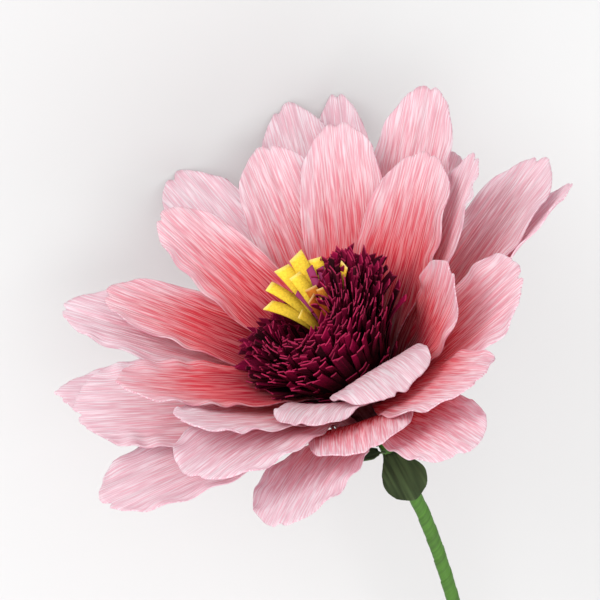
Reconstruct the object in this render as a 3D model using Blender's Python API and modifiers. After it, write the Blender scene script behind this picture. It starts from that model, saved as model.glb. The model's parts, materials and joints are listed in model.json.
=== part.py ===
"""Crepe paper peony on a wired stem, lying on two of its back petals and on the end of its stem.

Everything is modelled in the flower's own frame, in millimetres: the origin is where the petals
are glued to the wound centre, +Z runs up out of the flower, and -Y is its front. An empty then
turns and shifts the whole flower so that it rests on the ground, with +Z up, in metres.
"""
import math
from typing import NamedTuple

import bmesh
import bpy
from mathutils import Matrix, Vector

MM = 0.001

# Paper, and how much two like strips of it differ from each other
PAPER = 0.5
LENGTH_VARIATION = 0.12
LEAN_VARIATION = 0.3
VARIATION_STEPS = (12.9898, 4.1414)
WELD = 0.01

# Stem
WIRE_RADIUS = 1.1
WIRE_GAP = 0.3
WIRE_TOP = 22.0
TAPE_TOP_WALL = 0.9
TAPE_END_WALL = 0.55
WRAP_BORE_RADIUS = WIRE_RADIUS + WIRE_GAP
WRAP_TOP_RADIUS = WRAP_BORE_RADIUS + TAPE_TOP_WALL
WRAP_END_RADIUS = WRAP_BORE_RADIUS + TAPE_END_WALL
CALYX_BOTTOM = -22.0
STEM_LENGTH = 215.0
STEM_FIRST_BEND = -16.0
STEM_LAST_BEND = 9.0
STEM_BEND_LENGTH = 32.0
STEM_POINTS = 16

# Petals: the sizes that all of them share
PETAL_GLUE_GAP = 0.9
PETAL_RING_STEP = 0.95
PETAL_RING_DROP = 1.3
PETAL_START_Z = 0.0
PETAL_FOOT_WIDTH = 8.4
PETAL_WIDEST = 0.62
PETAL_TIP_WIDTH = 0.58
PETAL_TIP_ROUND = 0.17
PETAL_TIP_ARC = 80.0
PETAL_OPENS_BY = 0.24
PETAL_COLUMNS = 6
PETAL_ROWS = 8

# The three fringes fit in each other, from the wire outwards
ROLL_GAP = 0.15
YELLOW_RADIUS = 5.3
INNER_RADIUS = YELLOW_RADIUS - PAPER - ROLL_GAP
FRINGE_BORE = YELLOW_RADIUS + PAPER / 2.0 + WIRE_GAP
FRINGE_FOOT_BORE = WIRE_RADIUS + WIRE_GAP

# Burgundy fringe, wound round the yellow one
FRINGE_BORE_FLOOR = 1.6
FRINGE_WOUND_RADIUS = 8.0
FRINGE_BOTTOM = -9.0
FRINGE_WOUND_TOP = 3.0
FRINGE_RIM_RADIUS = 21.0
FRINGE_RIM_Z = 27.5
FRINGE_TOP_Z = 35.5
FRINGE_SKEW = -3.5
FRINGE_TILT = 11.0
FRINGE_HIGH_SIDE = 25.0
FRINGE_CRATER_WALL = 1.3
FRINGE_CRATER_RADIUS = FRINGE_BORE + FRINGE_CRATER_WALL
FRINGE_CRATER_Z = 22.0
FRINGE_DOME_ARC = 120.0
FRINGE_FLARE = 2.0
FRINGE_SIDE_ROWS = 5
FRINGE_SECTORS = 28
FRINGE_TURNS = 5
FRINGE_STRIP_GAP = 0.35
FRINGE_STRIP_LENGTH = 6.0
FRINGE_STRIP_VARIATION = 1.6
FRINGE_FAN_Z = 6.0
WRAP_TOP = FRINGE_BOTTOM - WIRE_GAP

# Strips of the two inner fringes
STRIP_ROWS = 4

# Yellow fringe, one turn round the inner roll
YELLOW_BOTTOM = 8.0
YELLOW_BAND_DROP = 3.0
YELLOW_BAND_TOP = FRINGE_TOP_Z - YELLOW_BAND_DROP
YELLOW_STRIPS = 14
YELLOW_STRIP_LENGTH = 24.0
YELLOW_STRIP_LEAN = 46.0
YELLOW_STRIP_WIDTH = 3.0
YELLOW_FAN = (20.0, 190.0)

# Inner burgundy roll on the wire
INNER_BOTTOM = 2.0
INNER_ABOVE_YELLOW = 1.0
INNER_TOP = YELLOW_BAND_TOP + INNER_ABOVE_YELLOW
INNER_STRIPS = 10
INNER_STRIP_LENGTH = 12.0
INNER_STRIP_LEAN = 20.0
INNER_STRIP_WIDTH = 1.5
INNER_FAN = (0.0, 360.0)

# Sepals
SEPAL_GLUE_GAP = 0.65
SEPAL_RING_RADIUS = WRAP_TOP_RADIUS + SEPAL_GLUE_GAP
SEPAL_RING_STEP = 1.1
SEPAL_FOOT_Z = -19.0
SEPAL_FOOT_WIDTH = 4.6
SEPAL_TIP_WIDTH = 0.36
SEPAL_COLUMNS = 4
SEPAL_ROWS = 7

# How the flower lies
RESTING_PETALS = ("petal_back_outer", "petal_back_left_outer")
HEADING = 30.0
REST_SAMPLES = 16
REST_START = 0.5
REST_ROUNDS = 8


class Petal(NamedTuple):
    """One petal: lengths in millimetres, angles in degrees.

    leans are the angle from the flower's axis at the foot, and then how much further than the
    flare of the burgundy fringe it leans where it has opened and at its tip. cup is the curvature across it, in degrees from edge to edge, and is positive where
    the edges rise. twist turns the tip about the petal's own length. tip_width is the share of
    the width that the tip keeps.
    """
    name: str
    azimuth: float
    ring: int
    length: float
    width: float
    leans: tuple
    cup: float = 40.0
    twist: float = 0.0
    foot_width: float = PETAL_FOOT_WIDTH
    tip_width: float = PETAL_TIP_WIDTH


PETALS = (
    Petal("petal_front_right_inner", -77, 0, 54, 32, (10, 4, 72), cup=-10),
    Petal("petal_back_inner_right", 37, 0, 75, 33, (12, 23, 23), cup=46),
    Petal("petal_left_inner_back", 122, 0, 84, 25, (12, 21, 18), cup=50),
    Petal("petal_left_inner_front", -164, 0, 82, 29, (12, 26, 23), cup=36, twist=-8),
    Petal("petal_right_inner", -27, 1, 59, 28, (12, 19, -1), cup=20, twist=36, tip_width=0.36),
    Petal("petal_back_inner", 68, 1, 88, 29, (13, 25, 24), cup=30),
    Petal("petal_left_inner", 146, 1, 84, 25, (13, 28, 30), cup=44),
    Petal("petal_front_inner_left", -112, 1, 56, 28, (13, 15, 48), cup=10, twist=-10),
    Petal("petal_right_inner_back", 22, 2, 79, 23, (14, 25, 22), cup=40, twist=-12),
    Petal("petal_back_middle", 88, 2, 90, 29, (14, 26, 28), cup=44),
    Petal("petal_left_middle", 151, 2, 95, 28, (14, 32, 33), cup=26),
    Petal("petal_front_left_inner", -139, 2, 79, 29, (16, 26, 22), cup=14, twist=-10),
    Petal("petal_front_right", -66, 2, 75, 33, (15, 34, 41), cup=14),
    Petal("petal_back_right_middle", 50, 3, 102, 30, (15, 33, 31), cup=24),
    Petal("petal_back_left_outer", 107, 3, 102, 29, (15, 34, 34), cup=40),
    Petal("petal_left_outer", 180, 3, 86, 38, (15, 35, 38), cup=14, twist=-18),
    Petal("petal_front_left", -133, 3, 84, 36, (16, 27, 47), cup=14, twist=-10),
    Petal("petal_right_outer", -24, 3, 66, 35, (15, 29, 30), cup=20, twist=20),
    Petal("petal_back_outer_left", 81, 4, 108, 27, (16, 35, 32), cup=32),
    Petal("petal_left_outer_back", 168, 4, 90, 26, (16, 39, 41), cup=34),
    Petal("petal_front", -96, 4, 65, 33, (16, 26, 48), cup=14),
    Petal("petal_right_back_outer", 19, 4, 88, 31, (16, 40, 38), cup=26),
    Petal("petal_back_outer", 72, 5, 111, 22, (17, 38, 36), cup=38, tip_width=0.42),
    Petal("petal_left_front_outer", -157, 5, 88, 34, (17, 42, 48), cup=24, twist=-8),
    Petal("petal_front_outer_left", -116, 5, 80, 32, (17, 42, 52), cup=20, tip_width=0.36),
    Petal("petal_right_outer_back", 10, 5, 86, 25, (17, 42, 38), cup=40, twist=-24),
    Petal("petal_back_outer_right", 48, 6, 85, 24, (18, 42, 38), cup=36),
    Petal("petal_front_outer_right", -76, 5, 80, 28, (18, 39, 52), cup=20),
)

SEPALS = (
    Petal("sepal_left", -150, 0, 18, 12, (40, 62, 60), cup=30, foot_width=SEPAL_FOOT_WIDTH,
          tip_width=SEPAL_TIP_WIDTH),
    Petal("sepal_right", -20, 0, 22, 14, (40, 72, 68), cup=30, foot_width=SEPAL_FOOT_WIDTH,
          tip_width=SEPAL_TIP_WIDTH),
    Petal("sepal_back", 106, 0, 22, 14, (40, 68, 66), cup=30, foot_width=SEPAL_FOOT_WIDTH,
          tip_width=SEPAL_TIP_WIDTH),
    Petal("sepal_front", -86, 1, 20, 14, (50, 112, 145), cup=-30, foot_width=SEPAL_FOOT_WIDTH,
          tip_width=SEPAL_TIP_WIDTH),
    Petal("sepal_back_right", 46, 1, 22, 14, (40, 74, 70), cup=30, foot_width=SEPAL_FOOT_WIDTH,
          tip_width=SEPAL_TIP_WIDTH),
)


def smooth(value):
    """Eases from 0 to 1."""
    value = min(max(value, 0.0), 1.0)
    return value * value * (3.0 - 2.0 * value)


def mix(first, second, share):
    return first + (second - first) * share


def fringe_flare():
    """Angle from the flower's axis of the burgundy fringe's side, in degrees."""
    return math.degrees(math.atan2(FRINGE_RIM_RADIUS - FRINGE_WOUND_RADIUS,
                                   FRINGE_RIM_Z - FRINGE_WOUND_TOP))


def lean_at(leans, flare, along):
    """Angle from the flower's axis at a share of a petal's length."""
    foot, opened, tip = leans
    opened += flare
    tip += flare
    opening = smooth(along / PETAL_OPENS_BY)
    ending = smooth((along - PETAL_OPENS_BY) / (1.0 - PETAL_OPENS_BY))
    return math.radians(foot + (opened - foot) * opening + (tip - opened) * ending)


def centre_line(petal, start_radius, start_z, flare, steps=24):
    """Points and directions along the middle of a petal, from foot to tip."""
    azimuth = math.radians(petal.azimuth)
    outward = Vector((math.cos(azimuth), math.sin(azimuth), 0.0))
    point = outward * start_radius + Vector((0.0, 0.0, start_z))
    line = []
    for step in range(steps + 1):
        along = step / steps
        lean = lean_at(petal.leans, flare, along)
        ahead = outward * math.sin(lean) + Vector((0.0, 0.0, math.cos(lean)))
        line.append((point.copy(), ahead, Vector((-outward.y, outward.x, 0.0))))
        point = point + ahead * (petal.length / steps)
    return line


def half_width(petal, along):
    """Half of a petal's width at a share of its length."""
    if along <= PETAL_WIDEST:
        return mix(petal.foot_width, petal.width, smooth(along / PETAL_WIDEST)) / 2.0
    past = (along - PETAL_WIDEST) / (1.0 - PETAL_WIDEST)
    return mix(petal.width, petal.width * petal.tip_width, past * past) / 2.0


def across_section(petal, foot_radius, along, across, steps=8):
    """Sideways and upward place on a petal's cross-section, for across from -1 to 1."""
    half = half_width(petal, along)
    opened = smooth(along / PETAL_OPENS_BY)
    wrapped = 1.0 / foot_radius
    cupped = math.radians(petal.cup) / petal.width
    curvature = mix(wrapped, cupped, opened)
    side = up = 0.0
    for step in range(steps):
        share = (step + 0.5) / steps * across
        angle = curvature * share * half
        side += math.cos(angle) * across * half / steps
        up += math.sin(angle) * across * half / steps
    return side, up


def petal_point(petal, line, foot_radius, along, across):
    """Place on a petal's middle surface, in millimetres."""
    off_middle = math.sin(math.radians(PETAL_TIP_ARC)) * across
    along = along * (1.0 - PETAL_TIP_ROUND * (1.0 - math.sqrt(1.0 - off_middle * off_middle)))
    place = along * (len(line) - 1)
    index = min(int(place), len(line) - 2)
    share = place - index
    point = line[index][0].lerp(line[index + 1][0], share)
    ahead = line[index][1].lerp(line[index + 1][1], share).normalized()
    sideways = line[index][2].lerp(line[index + 1][2], share).normalized()
    inward = ahead.cross(sideways)
    turn = math.radians(petal.twist) * smooth(along)
    turned = sideways * math.cos(turn) + inward * math.sin(turn)
    raised = inward * math.cos(turn) - sideways * math.sin(turn)
    side, up = across_section(petal, foot_radius, along, across)
    return point + turned * side + raised * up


def sheet_shape(petal, foot_radius, foot_z, flare):
    """Function from a share along and a place across to a point on a petal or sepal."""
    line = centre_line(petal, foot_radius, foot_z, flare)
    return lambda along, across: petal_point(petal, line, foot_radius, along, across)


def petal_shape(petal):
    foot_radius = FRINGE_WOUND_RADIUS + PETAL_GLUE_GAP + petal.ring * PETAL_RING_STEP
    foot_z = PETAL_START_Z - petal.ring * PETAL_RING_DROP
    return sheet_shape(petal, foot_radius, foot_z, fringe_flare())


def sepal_shape(sepal):
    foot_radius = SEPAL_RING_RADIUS + sepal.ring * SEPAL_RING_STEP
    return sheet_shape(sepal, foot_radius, SEPAL_FOOT_Z, 0.0)


def material(name, colour, roughness):
    """Plain paper or wire finish."""
    made = bpy.data.materials.new(name)
    made.use_nodes = True
    shader = made.node_tree.nodes["Principled BSDF"]
    shader.inputs["Base Color"].default_value = (*colour, 1.0)
    shader.inputs["Roughness"].default_value = roughness
    shader.inputs["Metallic"].default_value = 0.0
    return made


def add_object(name, mesh, finish, place):
    """Adds a mesh to the flower under the empty that lays it down."""
    piece = bpy.data.objects.new(name, mesh)
    place["collection"].objects.link(piece)
    piece.parent = place["empty"]
    mesh.materials.append(finish)
    return piece


def add_sheet(name, point_at, columns, rows, finish, place):
    """A sheet of paper whose middle surface is given by a function."""
    grid = bmesh.new()
    bmesh.ops.create_grid(grid, x_segments=columns, y_segments=rows, size=1.0)
    for vert in grid.verts:
        vert.co = point_at((vert.co.y + 1.0) / 2.0, vert.co.x) * MM
    mesh = bpy.data.meshes.new(name)
    grid.to_mesh(mesh)
    grid.free()
    mesh.shade_smooth()
    piece = add_object(name, mesh, finish, place)
    wall = piece.modifiers.new("paper", "SOLIDIFY")
    wall.thickness = PAPER * MM
    wall.offset = 0.0
    return piece


def add_petals(finish, place):
    for petal in PETALS:
        add_sheet(petal.name, petal_shape(petal), PETAL_COLUMNS, PETAL_ROWS, finish, place)


def stem_line(top, spacing):
    """Points down the stem's curve: straight through the flower, then bending to the left."""
    points = [Vector((0.0, 0.0, top)), Vector((0.0, 0.0, CALYX_BOTTOM))]
    for step in range(1, STEM_POINTS + 1):
        distance = step * spacing
        settled = 1.0 - math.exp(-distance / STEM_BEND_LENGTH)
        bend = math.radians(mix(STEM_FIRST_BEND, STEM_LAST_BEND, settled))
        points.append(points[-1] + Vector((-math.sin(bend), 0.0, -math.cos(bend))) * spacing)
    return points


def tube_curve(name, points, radii, capped):
    """A round curve through the points."""
    curve = bpy.data.curves.new(name, "CURVE")
    curve.dimensions = "3D"
    curve.bevel_depth = MM
    curve.bevel_resolution = 2
    curve.use_fill_caps = capped
    spline = curve.splines.new("POLY")
    spline.points.add(len(points) - 1)
    for target, point, radius in zip(spline.points, points, radii):
        target.co = (*(point * MM), 1.0)
        target.radius = radius
    return curve


def curve_mesh(curve):
    """The curve's surface as a mesh."""
    holder = bpy.data.objects.new(curve.name, curve)
    bpy.context.scene.collection.objects.link(holder)
    graph = bpy.context.evaluated_depsgraph_get()
    mesh = bpy.data.meshes.new_from_object(holder.evaluated_get(graph))
    bpy.data.objects.remove(holder)
    shape = bmesh.new()
    shape.from_mesh(mesh)
    bmesh.ops.remove_doubles(shape, verts=shape.verts, dist=WELD * MM)
    bmesh.ops.recalc_face_normals(shape, faces=shape.faces)
    shape.to_mesh(mesh)
    shape.free()
    return mesh


def add_stem(wire_finish, green, place):
    """The wire and the green paper tape wound round it."""
    spacing = STEM_LENGTH / STEM_POINTS
    wire_points = stem_line(WIRE_TOP, spacing)
    wire = curve_mesh(tube_curve("stem_wire", wire_points, [WIRE_RADIUS] * len(wire_points), True))
    add_object("stem_wire", wire, wire_finish, place)
    wrap_points = stem_line(WRAP_TOP, spacing)
    last = len(wrap_points) - 1
    radii = [mix(WRAP_TOP_RADIUS, WRAP_END_RADIUS, index / last) for index in range(last + 1)]
    tape = curve_mesh(tube_curve("stem_wrap", wrap_points, radii, False))
    wrap = add_object("stem_wrap", tape, green, place)
    wall = wrap.modifiers.new("tape", "SOLIDIFY")
    wall.thickness = (WRAP_END_RADIUS - WRAP_BORE_RADIUS) * MM
    wall.offset = -1.0


def add_sepals(green, place):
    """Five green sepals under the petals, glued round the top of the stem."""
    for sepal in SEPALS:
        add_sheet(sepal.name, sepal_shape(sepal), SEPAL_COLUMNS, SEPAL_ROWS, green, place)


def fringe_profile():
    """Outline of the burgundy roll: its foot, its flared side, its dome and its inside."""
    foot = [(FRINGE_FOOT_BORE, FRINGE_BOTTOM), (FRINGE_WOUND_RADIUS, FRINGE_BOTTOM)]
    side = []
    for step in range(FRINGE_SIDE_ROWS + 1):
        share = step / FRINGE_SIDE_ROWS
        radius = mix(FRINGE_WOUND_RADIUS, FRINGE_RIM_RADIUS, share ** FRINGE_FLARE)
        side.append((radius, mix(FRINGE_WOUND_TOP, FRINGE_RIM_Z, share)))
    top = []
    for turn in range(1, FRINGE_TURNS + 1):
        share = turn / FRINGE_TURNS
        rise = math.sin(math.radians(FRINGE_DOME_ARC) * share)
        top.append((mix(FRINGE_RIM_RADIUS, FRINGE_CRATER_RADIUS, share),
                    mix(FRINGE_RIM_Z, FRINGE_TOP_Z, rise)))
    inside = [(FRINGE_BORE, FRINGE_CRATER_Z), (FRINGE_BORE, FRINGE_BORE_FLOOR),
              (FRINGE_FOOT_BORE, FRINGE_BORE_FLOOR)]
    return foot + side, top, inside


def variation(number):
    """A repeatable value between -1 and 1 for each strip."""
    first, second = VARIATION_STEPS
    return math.sin(number * first) * math.cos(number * second)


def add_fringe(finish, place):
    """The burgundy roll: a wound foot that opens into a dome of short cut strips."""
    outside, top, inside = fringe_profile()
    outline = outside + top + inside
    first_top_row = len(outside) - 1
    shape = bmesh.new()
    rows = []
    for radius, height in outline:
        outness = smooth((radius - FRINGE_BORE) / (FRINGE_RIM_RADIUS - FRINGE_BORE))
        upness = smooth((height - FRINGE_WOUND_TOP) / (FRINGE_RIM_Z - FRINGE_WOUND_TOP))
        skew = FRINGE_SKEW * outness * upness
        rise = math.tan(math.radians(FRINGE_TILT)) * radius * outness * upness
        ring = []
        for sector in range(FRINGE_SECTORS):
            angle = 2.0 * math.pi * sector / FRINGE_SECTORS
            tilted = rise * math.cos(angle - math.radians(FRINGE_HIGH_SIDE))
            ring.append(shape.verts.new(
                (radius * math.cos(angle) + skew, radius * math.sin(angle), height + tilted)))
        rows.append(ring)
    tops = []
    for number, (lower, upper) in enumerate(zip(rows, rows[1:] + rows[:1])):
        for sector in range(FRINGE_SECTORS):
            after = (sector + 1) % FRINGE_SECTORS
            face = shape.faces.new((lower[sector], lower[after], upper[after], upper[sector]))
            if first_top_row <= number < first_top_row + len(top):
                tops.append(face)
    bmesh.ops.inset_individual(shape, faces=tops, thickness=FRINGE_STRIP_GAP)
    strips = bmesh.ops.extrude_discrete_faces(shape, faces=tops)["faces"]
    fan = Vector((0.0, 0.0, FRINGE_FAN_Z))
    for number, strip in enumerate(strips):
        ahead = (strip.calc_center_median() - fan).normalized()
        length = FRINGE_STRIP_LENGTH + FRINGE_STRIP_VARIATION * variation(number)
        bmesh.ops.translate(shape, verts=strip.verts, vec=ahead * length)
    bmesh.ops.scale(shape, verts=shape.verts, vec=(MM, MM, MM))
    bmesh.ops.recalc_face_normals(shape, faces=shape.faces)
    mesh = bpy.data.meshes.new("fringe_roll")
    shape.to_mesh(mesh)
    shape.free()
    add_object("fringe_roll", mesh, finish, place)


def add_fringed_band(name, radius, bottom, band_top, strips, strip, fan, finish, place):
    """A paper band round the wire whose upper edge is cut into strips that fan out.

    strip is a strip's length, lean and width, and fan is the range of azimuths with strips.
    """
    length, lean, width = strip
    shape = bmesh.new()
    ring = bmesh.ops.create_circle(shape, segments=strips * 2, radius=radius)["verts"]
    bmesh.ops.translate(shape, verts=ring, vec=(0.0, 0.0, bottom))
    band = bmesh.ops.extrude_edge_only(shape, edges=shape.edges[:])["geom"]
    upper = [item for item in band if isinstance(item, bmesh.types.BMVert)]
    bmesh.ops.translate(shape, verts=upper, vec=(0.0, 0.0, band_top - bottom))
    edges = [item for item in band if isinstance(item, bmesh.types.BMEdge)]
    cut = sorted(edges, key=lambda edge: math.atan2(edge.verts[0].co.y + edge.verts[1].co.y,
                                                    edge.verts[0].co.x + edge.verts[1].co.x))[::2]
    for number, edge in enumerate(cut):
        grown = edge
        middle = (edge.verts[0].co + edge.verts[1].co) / 2.0
        outward = Vector((middle.x, middle.y, 0.0)).normalized()
        if not fan[0] <= math.degrees(math.atan2(middle.y, middle.x)) % 360.0 <= fan[1]:
            continue
        half_widening = (width - edge.calc_length()) / 2.0 / STRIP_ROWS
        own_length = length * (1.0 + LENGTH_VARIATION * variation(number))
        own_lean = math.radians(lean * (1.0 + LEAN_VARIATION * variation(number + strips)))
        for step in range(STRIP_ROWS):
            tilt = own_lean * (step + 1) / STRIP_ROWS
            ahead = outward * math.sin(tilt) + Vector((0.0, 0.0, math.cos(tilt)))
            new = bmesh.ops.extrude_edge_only(shape, edges=[grown])["geom"]
            verts = [item for item in new if isinstance(item, bmesh.types.BMVert)]
            bmesh.ops.translate(shape, verts=verts, vec=ahead * own_length / STRIP_ROWS)
            apart = (verts[1].co - verts[0].co).normalized() * half_widening
            verts[0].co -= apart
            verts[1].co += apart
            grown = [item for item in new if isinstance(item, bmesh.types.BMEdge)
                     and all(vert in verts for vert in item.verts)][0]
    bmesh.ops.scale(shape, verts=shape.verts, vec=(MM, MM, MM))
    bmesh.ops.recalc_face_normals(shape, faces=shape.faces)
    mesh = bpy.data.meshes.new(name)
    shape.to_mesh(mesh)
    shape.free()
    piece = add_object(name, mesh, finish, place)
    wall = piece.modifiers.new("paper", "SOLIDIFY")
    wall.thickness = PAPER * MM
    wall.offset = 0.0


def resting_turn():
    """Rotation that lays the flower on the stem's end and on two petals, heading to the back."""
    feet = [(WRAP_END_RADIUS, [stem_line(WIRE_TOP, STEM_LENGTH / STEM_POINTS)[-1]])]
    for petal in PETALS:
        if petal.name in RESTING_PETALS:
            point_at = petal_shape(petal)
            shares = [step / REST_SAMPLES for step in range(REST_SAMPLES + 1)]
            feet.append((PAPER / 2.0, [point_at(mix(REST_START, 1.0, along), mix(-1.0, 1.0, across))
                                       for along in shares for across in shares]))
    up = Vector((0.0, -1.0, 0.0))
    for _ in range(REST_ROUNDS):
        touching = [min(points, key=up.dot) - up * reach for reach, points in feet]
        normal = (touching[1] - touching[0]).cross(touching[2] - touching[0]).normalized()
        up = normal if normal.dot(up) > 0.0 else -normal
    axis = Vector((0.0, 0.0, 1.0))
    ahead = (axis - up * axis.dot(up)).normalized()
    ahead = Matrix.Rotation(math.radians(-HEADING), 3, up) @ ahead
    return Matrix((ahead.cross(up), ahead, up)).to_4x4()


def lay_down(place):
    """Turns the flower to its rest and sets the middle of its lowest level on the origin."""
    empty = place["empty"]
    empty.matrix_world = resting_turn()
    bpy.context.view_layer.update()
    graph = bpy.context.evaluated_depsgraph_get()
    corners = []
    for piece in place["collection"].objects:
        if piece.type == "MESH":
            shown = piece.evaluated_get(graph)
            corners += [shown.matrix_world @ vert.co for vert in shown.data.vertices]
    low = Vector([min(corner[axis] for corner in corners) for axis in range(3)])
    high = Vector([max(corner[axis] for corner in corners) for axis in range(3)])
    middle = (low + high) / 2.0
    empty.location = empty.location - Vector((middle.x, middle.y, low.z))
    bpy.context.view_layer.update()


def main():
    for old in list(bpy.data.objects):
        bpy.data.objects.remove(old)
    collection = bpy.data.collections.new("crepe_paper_peony")
    bpy.context.scene.collection.children.link(collection)
    empty = bpy.data.objects.new("flower", None)
    collection.objects.link(empty)
    place = {"collection": collection, "empty": empty}
    petal_paper = material("petal_crepe", (0.86, 0.36, 0.42), 0.85)
    burgundy = material("burgundy_crepe", (0.12, 0.003, 0.03), 0.8)
    yellow = material("yellow_crepe", (0.85, 0.56, 0.05), 0.8)
    sepal_green = material("sepal_crepe", (0.035, 0.07, 0.02), 0.85)
    stem_green = material("stem_tape", (0.06, 0.2, 0.01), 0.7)
    wire = material("steel_wire", (0.35, 0.34, 0.32), 0.5)
    add_petals(petal_paper, place)
    add_fringe(burgundy, place)
    add_fringed_band("yellow_fringe", YELLOW_RADIUS, YELLOW_BOTTOM, YELLOW_BAND_TOP, YELLOW_STRIPS,
                     (YELLOW_STRIP_LENGTH, YELLOW_STRIP_LEAN, YELLOW_STRIP_WIDTH), YELLOW_FAN,
                     yellow, place)
    add_fringed_band("inner_fringe", INNER_RADIUS, INNER_BOTTOM, INNER_TOP, INNER_STRIPS,
                     (INNER_STRIP_LENGTH, INNER_STRIP_LEAN, INNER_STRIP_WIDTH), INNER_FAN,
                     burgundy, place)
    add_sepals(sepal_green, place)
    add_stem(wire, stem_green, place)
    lay_down(place)


main()
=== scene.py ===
"""Crepe paper peony: petals, cut fringes, sepals and taped stem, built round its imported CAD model.

Shapes are worked out in the flower's own frame, in millimetres: the origin is where the petals
are glued to the wound centre, +Z runs up out of the flower and -Y is its front. Each finished
mesh is then turned and shifted to where the CAD model lies.
"""
import json
import math
from typing import NamedTuple

import bpy
import numpy as np
from bpy.props import FloatProperty, FloatVectorProperty, IntProperty, PointerProperty
from mathutils import Matrix, Vector

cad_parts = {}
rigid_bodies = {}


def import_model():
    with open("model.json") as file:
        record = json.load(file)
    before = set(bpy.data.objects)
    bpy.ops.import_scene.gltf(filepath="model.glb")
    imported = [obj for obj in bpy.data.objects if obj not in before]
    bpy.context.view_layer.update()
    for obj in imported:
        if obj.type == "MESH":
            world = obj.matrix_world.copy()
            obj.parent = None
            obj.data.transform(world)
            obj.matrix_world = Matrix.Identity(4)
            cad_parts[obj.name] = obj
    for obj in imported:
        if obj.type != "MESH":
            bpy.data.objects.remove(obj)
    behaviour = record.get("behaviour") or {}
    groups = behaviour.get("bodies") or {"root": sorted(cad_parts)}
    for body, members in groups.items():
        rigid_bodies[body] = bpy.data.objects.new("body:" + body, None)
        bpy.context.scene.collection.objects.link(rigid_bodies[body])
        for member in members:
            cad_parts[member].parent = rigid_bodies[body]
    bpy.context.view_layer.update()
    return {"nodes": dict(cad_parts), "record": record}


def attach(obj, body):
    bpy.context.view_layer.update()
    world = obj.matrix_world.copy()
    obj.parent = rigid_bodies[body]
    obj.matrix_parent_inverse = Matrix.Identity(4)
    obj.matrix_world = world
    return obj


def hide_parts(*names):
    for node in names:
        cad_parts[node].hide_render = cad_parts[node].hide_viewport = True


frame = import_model()

bl_info = {
    "name": "Crepe Paper Peony",
    "version": (1, 0, 0),
    "blender": (4, 5, 0),
    "location": "View3D > Sidebar > Paper Flower",
    "description": "Builds a wired crepe paper flower with cut fringes",
    "category": "Add Mesh",
}

MM = 0.001

# Sizes that the CAD model has too
PAPER = 0.5
WIRE_GAP = 0.3
WRAP_BORE_RADIUS = 1.1 + WIRE_GAP
WRAP_TOP_RADIUS = WRAP_BORE_RADIUS + 0.9
WRAP_END_RADIUS = WRAP_BORE_RADIUS + 0.55
CALYX_BOTTOM = -22.0
STEM_LENGTH = 215.0
STEM_FIRST_BEND = -16.0
STEM_LAST_BEND = 9.0
STEM_BEND_LENGTH = 32.0
STEM_POINTS = 16
FRINGE_WOUND_RADIUS = 8.0
FRINGE_BOTTOM = -9.0
FRINGE_WOUND_TOP = 3.0
FRINGE_RIM_RADIUS = 21.0
FRINGE_RIM_Z = 27.5
FRINGE_HIGH_SIDE = 25.0
WRAP_TOP = FRINGE_BOTTOM - WIRE_GAP
PETAL_RING_RADIUS = FRINGE_WOUND_RADIUS + 0.9
PETAL_RING_STEP = 0.95
PETAL_RING_DROP = 1.3
PETAL_FOOT_WIDTH = 8.4
PETAL_WIDEST = 0.62
PETAL_TIP_WIDTH = 0.58
PETAL_TIP_ROUND = 0.17
PETAL_TIP_ARC = 80.0
PETAL_OPENS_BY = 0.24
SEPAL_RING_RADIUS = WRAP_TOP_RADIUS + 0.65
SEPAL_RING_STEP = 1.1
SEPAL_FOOT_Z = -19.0
SEPAL_FOOT_WIDTH = 4.6
SEPAL_TIP_WIDTH = 0.36

# Fineness of the sheets, and their thickness
LINE_STEPS = 24
SECTION_STEPS = 8
PETAL_ROWS = 60
PETAL_COLUMNS = 96
SEPAL_ROWS = 36
SEPAL_COLUMNS = 44
SHEET_WALL = 0.4
MAP_LENGTH = 200.0

# The petals' torn tips, waving edges and crumples, in millimetres and shares of the petal
TIP_RAGS = ((1.4, 0), (4.0, 40))
TIP_RAG_DEPTH = 0.9
TIP_STARTS = 0.82
NOTCH_DEPTH = 1.6
NOTCH_WIDTH = 1.1
NOTCH_SPREAD = 5.0
EDGE_STARTS = 0.45
EDGE_WAVE = 2.1
EDGE_SHIFTS = (3.0, 5.0)
EDGE_DRIFT = 15.0
EDGE_BLEACH = 0.08
EDGE_WAVE_AT_FOOT = 0.3
PLEATS_AT_FOOT = 0.6
CRUMPLE = 1.1
CRUMPLE_SIZE = (11.0, 20.0)
FREE_AT = 0.4
BLUSH_SHIFT = 0.5

# The crepe's pleats: how often they come for each spacing, their length, share and seed, and how
# far and over what size they drift
PLEATS = ((2.0, 13.0, 0.65, 0), (1.0, 24.0, 0.35, 9))
PLEAT_DRIFT = 1.6
PLEAT_DRIFT_SIZE = (6.0, 26.0)
SEPAL_PLEAT_SIZE = (0.55, 9.0)
SEPAL_PLEAT_HEIGHT = 0.35
SEPAL_CRUMPLE_SIZE = (5.0, 8.0)

# Share of grey pink in each dye colour of the petals' outer faces, from foot to tip
OUTER_DUST = (0.45, 0.5, 0.5, 0.4)

# The tape round the stem
WRAP_ROWS = 700
WRAP_COLUMNS = 40
WRAP_SMOOTHINGS = 12
WRAP_INSET = 0.15
TAPE_STEP = 0.16
TAPE_WRINKLE = 0.1
TAPE_WRINKLE_SIZE = 0.8

# The fringe's solid core, inside its strips, darkened as painted shade, and the order of a face's corners
# seen from within
CORE_BORE = 6.0
CORE_RIM_RADIUS = 13.5
CORE_RIM_Z = 17.0
CORE_CREST_RADIUS = 10.5
CORE_CREST_Z = 25.0
CORE_BORE_Z = 21.0
CORE_COLUMNS = 64
TURNED_OVER = (0, 3, 2, 1)
CORE_PAINTED_SHADE = 0.3

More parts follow.
